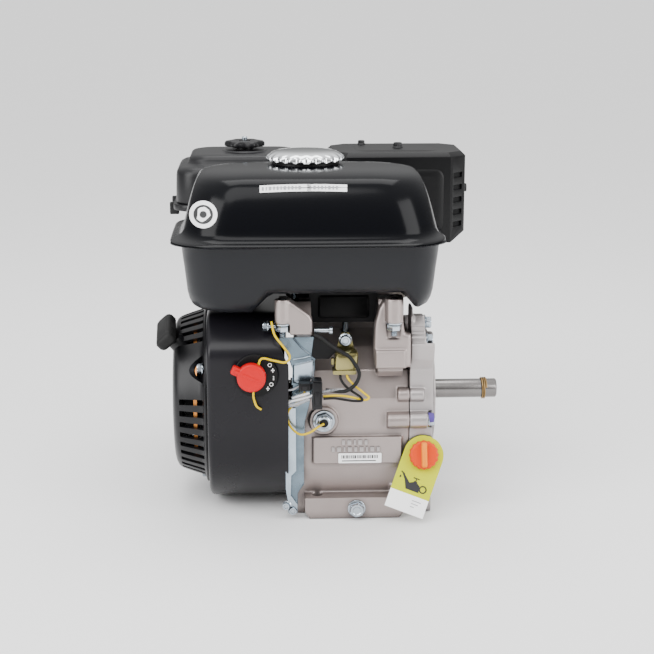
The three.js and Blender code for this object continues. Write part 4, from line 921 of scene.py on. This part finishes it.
card(-40, 19.49, "tag_upper", CARD_YELLOW, ("oil_tag",))
card(-58, -40, "tag_lower", CARD_WHITE, ("oil_tag",))
can = Shape(on_tag(0.6))
for outline in ([(-6, -36), (7.5, -36), (6.4, -29.5), (3.5, -27.6), (-1, -27.6), (-4, -29.2)],
                [(-0.6, -27.7), (3.4, -27.7), (2.8, -26.2), (0, -26.2)],
                [(0.9, -26.3), (1.9, -26.3), (1.9, -23.6), (0.9, -23.6)],
                [(-1.8, -23.9), (4.4, -23.9), (4.4, -22.9), (-1.8, -22.9)],
                [(-6, -35.6), (-3.6, -29.6), (-12, -22.2), (-13, -23.4), (-9.4, -28)],
                [(-15.4, -26.6), (-14.4, -24.6), (-13.4, -26.4), (-14.4, -27.8)],
                [(-14.8, -20.6), (-10.8, -22.6), (-11.6, -24.2), (-15.2, -21.6)]):
    can.loft(slab(outline, 0, 0.12))
for k in range(24):
    a0, a1 = k * tau / 24, (k + 1) * tau / 24
    arc = [(10.4 + r * cos(a), -31.6 + r * sin(a)) for r,
           a in ((3.9, a0), (3.9, a1), (2.6, a1), (2.6, a0))]
    can.loft(slab(arc, 0, 0.12))
can.build("tag_picture", INK)
lines = Shape(on_tag(0.6))
for row, width in enumerate((9, 7, 4)):
    low = -45 - row * 3
    lines.loft(slab(((4, low), (4 + width, low), (4 + width, low + 0.8), (4, low + 0.8)), 0, 0.1))
lines.build("tag_lines", GREY_INK)

# ---- Oil level switch, alert unit, connectors and leads ----
level_at = facing((-31.6, -80, 97))
switch = Shape(level_at)
switch.turned([(0.2, 10.4), (0.9, 11), (1.7, 10.4), (1.7, 4)], steps=40)
switch.prism(hexagon(8.8, 0.3), 1.4, 6.2, 0.7)
switch.turned([(6, 6.6), (7.4, 6.4), (8, 5.6), (7.8, 4.2), (6.4, 3.8), (6.4, 0.1)], steps=32)
switch.turned([(-24, 6.4), (0.4, 6.4)], steps=20)
switch.build("level_switch", BOLT, nodes=("oil_level_switch",))
grommet = Shape(level_at)
grommet.turned([(6.2, 4.0), (8.6, 3.6), (9, 3), (9, 0.1)], steps=24)
grommet.build("level_grommet", RUBBER)

alert = Shape(facing())
box = stack(-22.6, -1, 150.6, 169, 3, ((80, 0.6), (80.6, 0), (94.6, 0), (96.6, 1.0), (97.6, 3.0),
                                       (97.9, 5.5)), 5)
alert.loft([[(x + (y - 147.5) * 0.08, y, z) for x, y, z in level] for level in box])
alert.loft(slab(rounded(-23.6, -1.4, 147.5, 151.4, 1.4, 5), 80, 97))
alert.loft(slab(((-19.5, 168), (-2.5, 168), (-5.6, 181), (-8, 184.6), (-14, 184.6), (-16.6, 181)), 80, 82))
alert.loft(slab(rounded(-24.8, -22.4, 156, 162, 1, 4), 86, 92))
alert.build("alert_unit", OLIVE, nodes=("oil_alert_unit",))

plugs = Shape()
for corners in ((-43.5, -34, -108, -90, 116.5, 142.5), (-56, -44.5, -104, -94, 133.6, 141),
                (-46, -42, -102, -96, 134.5, 140), (-41.5, -36, -109, -107.6, 121, 134),
                (-54, -47, -104.8, -103.6, 135, 139.6), (-43, -34.5, -106, -92, 142, 144.4)):
    plugs.loft(block(*corners, 0.8))
plugs.build("wire_plugs", PLASTIC, nodes=("wire_connector",))


def lead(name, points, radius, material, nodes=(), slot=None):
    """A cord through the points of its route."""
    return Shape().tube(points, radius, 8, 14).build(name, material, nodes=nodes, sharp=60, slot=slot)


lead("lead_switch", [
    (-81.4, -99, 200), (-78.5, -106, 189), (-70, -108, 177.5), (-64.5, -109.5, 169), (-69, -109.8, 163.5),
    (-80, -109.8, 165.5), (-90, -109.8, 167.5), (-93.5, -109.8, 162), (-91.5, -109.8, 151),
    (-94.5, -109.8, 141.5),
    (-99, -109.8, 134), (-96.5, -109, 122), (-92, -106, 117)], 1.1, YELLOW, ("switch_lead",))
lead("lead_oil_switch", [
    (-50, -99, 132), (-57, -98, 122), (-65, -97, 114), (-67, -96, 105), (-63, -95, 95), (-55, -95, 88.5),
    (-46, -95, 90), (-38, -94, 95), (-32, -90, 97)], 1.1, YELLOW, ("oil_switch_lead",))
lead("lead_alert", [
    (-33, -103, 128.2), (-21, -104, 129.1), (-8.8, -104, 127.9), (5.6, -104, 124.5), (10.2, -103.4, 126.6),
    (5.6, -103, 130.9), (-2.7, -101, 137.4), (-8.8, -98, 143.4), (-10.5, -95, 147)], 1.1, YELLOW,
    ("alert_lead",))
lead("lead_alert_black", [
    (-33, -105, 126.4), (-23.2, -106, 127), (-14.9, -106, 125.8), (-4.7, -106, 124.2), (3.6, -105.6, 124.4),
    (1.6, -104.6, 128), (-4.7, -103, 132.1), (-11.9, -101, 137.5), (-16, -97, 142.9), (-16.6, -93, 148.2)],
     1.2, RUBBER)
lead("lead_engine", [
    (-41.5, -101, 188.4), (-35.4, -102, 185.2), (-27.3, -103, 178.9), (-17.1, -104, 172.4),
    (-8.9, -104, 167.1),
    (-2.7, -104, 158.6), (0.8, -104, 151.2), (-0.6, -104.6, 143.7), (-5.7, -105.4, 137.4),
    (-13.9, -104.6, 133.3),
    (-30.6, -100, 133.5)], 1.8, RUBBER, ("engine_lead",))
lead("lead_grey", [
    (-56, -99, 137), (-62, -101, 134.6), (-68.2, -102, 133.9), (-74.4, -102, 130.8), (-76.5, -101, 125.5),
    (-74.5, -100, 120.1), (-68.3, -100, 117.9), (-58, -101, 118.8), (-50, -101, 124)], 0.9, GREY_INK,
    slot="black_rubber")
for index, points in enumerate((
        [(-70, -100, 119), (-64, -102, 123), (-56, -103, 125.3), (-46, -103, 128), (-42, -103, 130)],
        [(-72, -101, 122), (-64, -103, 119.6), (-56, -104, 122), (-46, -104, 126)],
        [(-62, -100, 126), (-55, -103, 129), (-46, -103, 131.4)],
        [(-34, -101, 132), (-24, -102.6, 134), (-12.9, -103, 134.3)])):
    lead(f"sleeve_{index + 1}", points, 1.7, CLEAR)
    lead(f"sleeve_core_{index + 1}", points, 0.7, (PAPER, GREY_INK)[index % 2], slot="black_plastic")


# ---- Zinc-plated shroud plate ----
def cut_sheet(name, y, outline, thickness, material):
    """A flat sheet that faces the front, its back at the depth y."""
    return Shape(facing((0, y, 0))).loft(slab(outline, 0, thickness)).build(name, material, sharp=30)


# The plate, sheet and flange take the darker zinc copy, painted shade; the strip and pressing take the plain
# zinc.
refined("shroud_plate", ZINC_PAINTED_SHADE, voxel=0.7, rounds=3, keep=0.4)
cut_sheet("shroud_sheet", -84.9, (
    (-74, 181.5), (-73.6, 177), (-69.8, 171), (-63, 157), (-61.6, 150), (-62.4, 135), (-44, 135),
    (-41.6, 143),
    (-44, 163), (-41.4, 182)), 1.3, ZINC_PAINTED_SHADE)
press = Shape(facing((0, -86.2, 0)))
press.loft([flat(((-61, 155.5), (-41.4, 159.6), (-41.6, 142), (-47, 133), (-61, 137)), 0),
            flat(((-60, 154), (-42.6, 158), (-43, 142.6), (-47.6, 135), (-60, 138.6)), 1.5)])
press.tube([(-61.4, 160.2, 0.2), (-52, 161.4, 0.2), (-44.4, 163.4, 0.2)], 1.1, 4, 8)
press.tube([(-60.5, 181, 0.2), (-53, 172, 0.2), (-44.6, 165, 0.2)], 0.9, 4, 8)
press.build("shroud_pressing", ZINC, sharp=30)
# A dark sheet on the zinc shroud below the lug, painted shade.
cut_sheet("shroud_gusset_painted_shade", -84.9, (
    (-41.4, 181.6), (-20, 172), (-20, 168), (-26.6, 160.4), (-40, 160.4), (-43.6, 163.4)), 1.0, DARK)
cut_sheet("shroud_strip", -84.9, (
    (-67, 112), (-58.8, 112), (-58.6, 49), (-63.4, 44), (-64, 24), (-57.6, 14.6), (-58, 6), (-61.6, 5),
    (-65.8, 13), (-68.6, 30), (-68.8, 90)), 1.8, ZINC)
cut_sheet("shroud_flange", -80, (
    (-58.8, 113), (-46, 113), (-50, 97), (-51, 82), (-50.8, 66), (-56, 62), (-56, 52), (-50.8, 47),
    (-50.8, 34), (-57, 25), (-58.8, 27)), 2.4, ZINC_PAINTED_SHADE)
bolt("shroud_bolt_1", (-67.3, -85, 13.6), (-0.3, -1, 0), 7, 5)
bolt("shroud_bolt_2", (-62, -84, 8.4), (0, -1, 0), 7.4, 5)
bolt("shroud_bolt_3", (-84, -96, 195), (-1, 0, 0), 8, 8)
screw = Shape()
screw.turned([(-41, 2.3), (-27, 2.3), (-27, 3.8), (-24.4, 3.8), (-24.4, 0.1)], across_x((0, -97, 190.8)), 24)
screw.build("stop_screw", BOLT)
# A dark sheet set in the gap between the lugs under the tank, painted shade.
screen = Shape(facing())
screen.loft(slab(rounded(-44, 22, 187, 217, 3, 4), 44, 47))
screen.loft([flat(rounded(-34, 12, 193, 212, 3, 4), 49), flat(rounded(-36, 14, 191, 214, 3, 4), 47)])
screen.build("painted_shade_screen", DARK, sharp=40)

# ---- Fan, flywheel, starter and the inner works ----
eased("flywheel", IRON, "crank")
eased("cooling_fan", DARK, "crank", 0.4)
eased("starter_cup", ZINC, "crank", 0.4)
eased("flywheel_nut", BOLT, "crank", 0.8)
eased("starter_reel", DARK, "reel", 0.6)
eased("camshaft", IRON, "cam", 0.3)
eased("piston", CAST_COVER, "piston", 0.4)
eased("piston_pin", STEEL, "piston", 0.5)
eased("drive_bearing", STEEL, width=0.8)
eased("flywheel_bearing", STEEL, width=0.8)
eased("intake_valve", STEEL, "intake_valve", 0.3)
eased("exhaust_valve", STEEL, "exhaust_valve", 0.3)
eased("connecting_rod", CAST, "piston", 0.8)

# ---- Head cover, plug, coil, intake and controls ----
refined("head_cover", ZINC, voxel=1.0, rounds=4, keep=0.3)
for index, (x, y) in enumerate(((-30, -27), (30, -27), (30, 27), (-30, 27))):
    place = in_cylinder((x * 1.22, y * 1.22, 185.3))
    direction = in_cylinder((x, y, 200)) - in_cylinder((x, y, 190))
    bolt(f"head_cover_bolt_{index + 1}", tuple(place), tuple(direction), 8, 3)
refined("spark_plug_cap", RUBBER, voxel=0.8, rounds=3, keep=0.4)
eased("spark_plug", STEEL, width=0.5)
eased("ignition_coil", DARK, width=1.0)
refined("intake_spacer", PLASTIC, voxel=0.9, rounds=3, keep=0.3)
refined("intake_elbow", PLASTIC, voxel=0.8, rounds=6, keep=0.4)
refined("choke_lever", PLASTIC, "choke", 0.6, 3, 0.4)
refined("fuel_valve_lever", RED, "fuel_valve", 0.6, 3, 0.4)
eased("control_bracket", ZINC, width=0.4)
eased("throttle_lever", ZINC, "throttle", 0.4)
eased("governor_arm", ZINC, "governor", 0.4)
refined("ignition_lead", RUBBER, voxel=0.8, rounds=4, keep=0.4)
spring = Shape()
coils = [(-52 + k * 0.36, -22 + 2.6 * cos(k * 0.9), 192 + 2.6 * sin(k * 0.9)) for k in range(110)]
spring.tube(coils, 0.5, 2, 8)
spring.build("governor_spring", BOLT)
link = Shape()
link.tube([(-12, 26, 191), (-20, 60, 192), (-60, 110, 192), (-78, 124, 190)], 1.0, 8, 10)
link.build("throttle_link", BOLT)


# ---- Stickers on the tank ----
AIM_Y = -118


def stuck(name, outlines, material, lift=0.35):
    """Thin labels dropped onto the tank along the camera's line of sight; outlines are in (x, z) at AIM_Y."""
    tree = BVHTree.FromPolygons([v.co.copy() for v in upper.data.vertices],
                                [tuple(p.vertices) for p in upper.data.polygons])
    eye = camera.location
    made = Shape()

    def drop(x, z, height):
        ray = (Vector((x, AIM_Y, z)) * MM - eye).normalized()
        spot, normal, _, _ = tree.ray_cast(eye, ray)
        if normal.dot(ray) > 0:
            normal = -normal
        return (spot + normal * height * MM) / MM

    for levels in outlines:
        made.loft([[drop(x, z, lift) for x, z in level] for level in levels], upright(), start=False)
    return made.build(name, material, sharp=60)


def disc_levels(cx, cz, radii, steps=40):
    """Rings round a centre."""
    return [[(cx + x, cz + z) for x, z in circle(r, steps)] for r in radii]


def band_levels(x0, x1, low, high, steps=24):
    """A strip that sags away from the cap, as levels along x."""
    made = []
    for x in [x0 + (x1 - x0) * k / steps for k in range(steps + 1)]:
        sag = 0.0006 * (x - CAP_X) ** 2
        made.append([(x, low - sag), (x, high - sag)])
    return made


STRIP_LOW, STRIP_HIGH = 325.2, 331.6
stuck("tank_strip", [band_levels(-91, -12, STRIP_LOW, STRIP_HIGH)], PAPER)
printed = []
x = -89.0
for k in range(21):
    width = (1.6, 0.9, 2.1, 1.2)[k % 4]
    if not 10 < k < 13:
        printed.append(band_levels(x, x + width, STRIP_LOW + 1.8, STRIP_HIGH - 1.6, 1))
    x += width + 1.9
stuck("tank_strip_marks", printed, GREY_INK, 0.5)
DISC = (-142, 304.6)
stuck("tank_disc", [disc_levels(*DISC, (12.6, 11, 9, 6, 3, 0.3))], PAPER)
stuck("tank_disc_mark", [disc_levels(*DISC, (8.8, 7.4)), disc_levels(*DISC, (3.2, 2.2, 0.2))], INK, 0.5)

# ---- Finish of the nodes that are still shown as they are ----
slot_of = {row["node"]: row["material_slot"] for row in frame["record"]["subparts"]}
for name, node in frame["nodes"].items():
    node.data.materials.clear()
    node.data.materials.append(SLOTS[slot_of[name]][0])

# ---- Floor, backdrop and light ----
FLOOR_REACH, FLOOR_Z = 60, -0.0006
corners = [(x * FLOOR_REACH, y * FLOOR_REACH, FLOOR_Z) for x, y in ((-1, -1), (1, -1), (1, 1), (-1, 1))]
floor_mesh = bpy.data.meshes.new("floor")
floor_mesh.from_pydata(corners, [], [(0, 1, 2, 3)])
floor_mesh.materials.append(paint("floor", (0.86, 0.86, 0.86), 0.7, 0.0, 0.01, 3))
floor = put(bpy.data.objects.new("floor", floor_mesh))

world = bpy.data.worlds.new("studio")
world.use_nodes = True
air = world.node_tree
upward = add_node(air, "SeparateXYZ", Vector=add_node(air, "TexCoord").outputs["Generated"])
glow = add_node(air, "MapRange", Value=upward.outputs["Z"], From_Min=0.1, From_Max=0.8, To_Min=0.3,
                To_Max=1.6)
air.links.new(glow.outputs["Result"], air.nodes["Background"].inputs["Strength"])
air.nodes["Background"].inputs["Color"].default_value = (1.0, 1.0, 1.0, 1)
bpy.context.scene.world = world


def softbox(name, place, aim, size, power):
    light = bpy.data.lights.new(name, "AREA")
    light.shape = "RECTANGLE"
    light.size, light.size_y = size
    light.energy = power
    lamp = put(bpy.data.objects.new(name, light))
    lamp.location = place
    lamp.rotation_euler = (Vector(place) - Vector(aim)).to_track_quat("Z", "Y").to_euler()


softbox("left_box", (-1.3, -0.9, 0.8), (0, 0, 0.17), (1.0, 1.1), 24)
softbox("right_box", (1.3, -0.9, 0.7), (0, 0, 0.17), (1.0, 1.1), 20)
softbox("top_box", (0, 0.2, 1.6), (0, 0, 0.2), (1.2, 0.8), 14)

sky = bpy.data.lights.new("sky", "SUN")
sky.energy = 1.4
sky.angle = radians(35)
sky_lamp = put(bpy.data.objects.new("sky", sky))
sky_lamp.rotation_euler = Vector((-0.25, -0.75, 1.0)).to_track_quat("Z", "Y").to_euler()
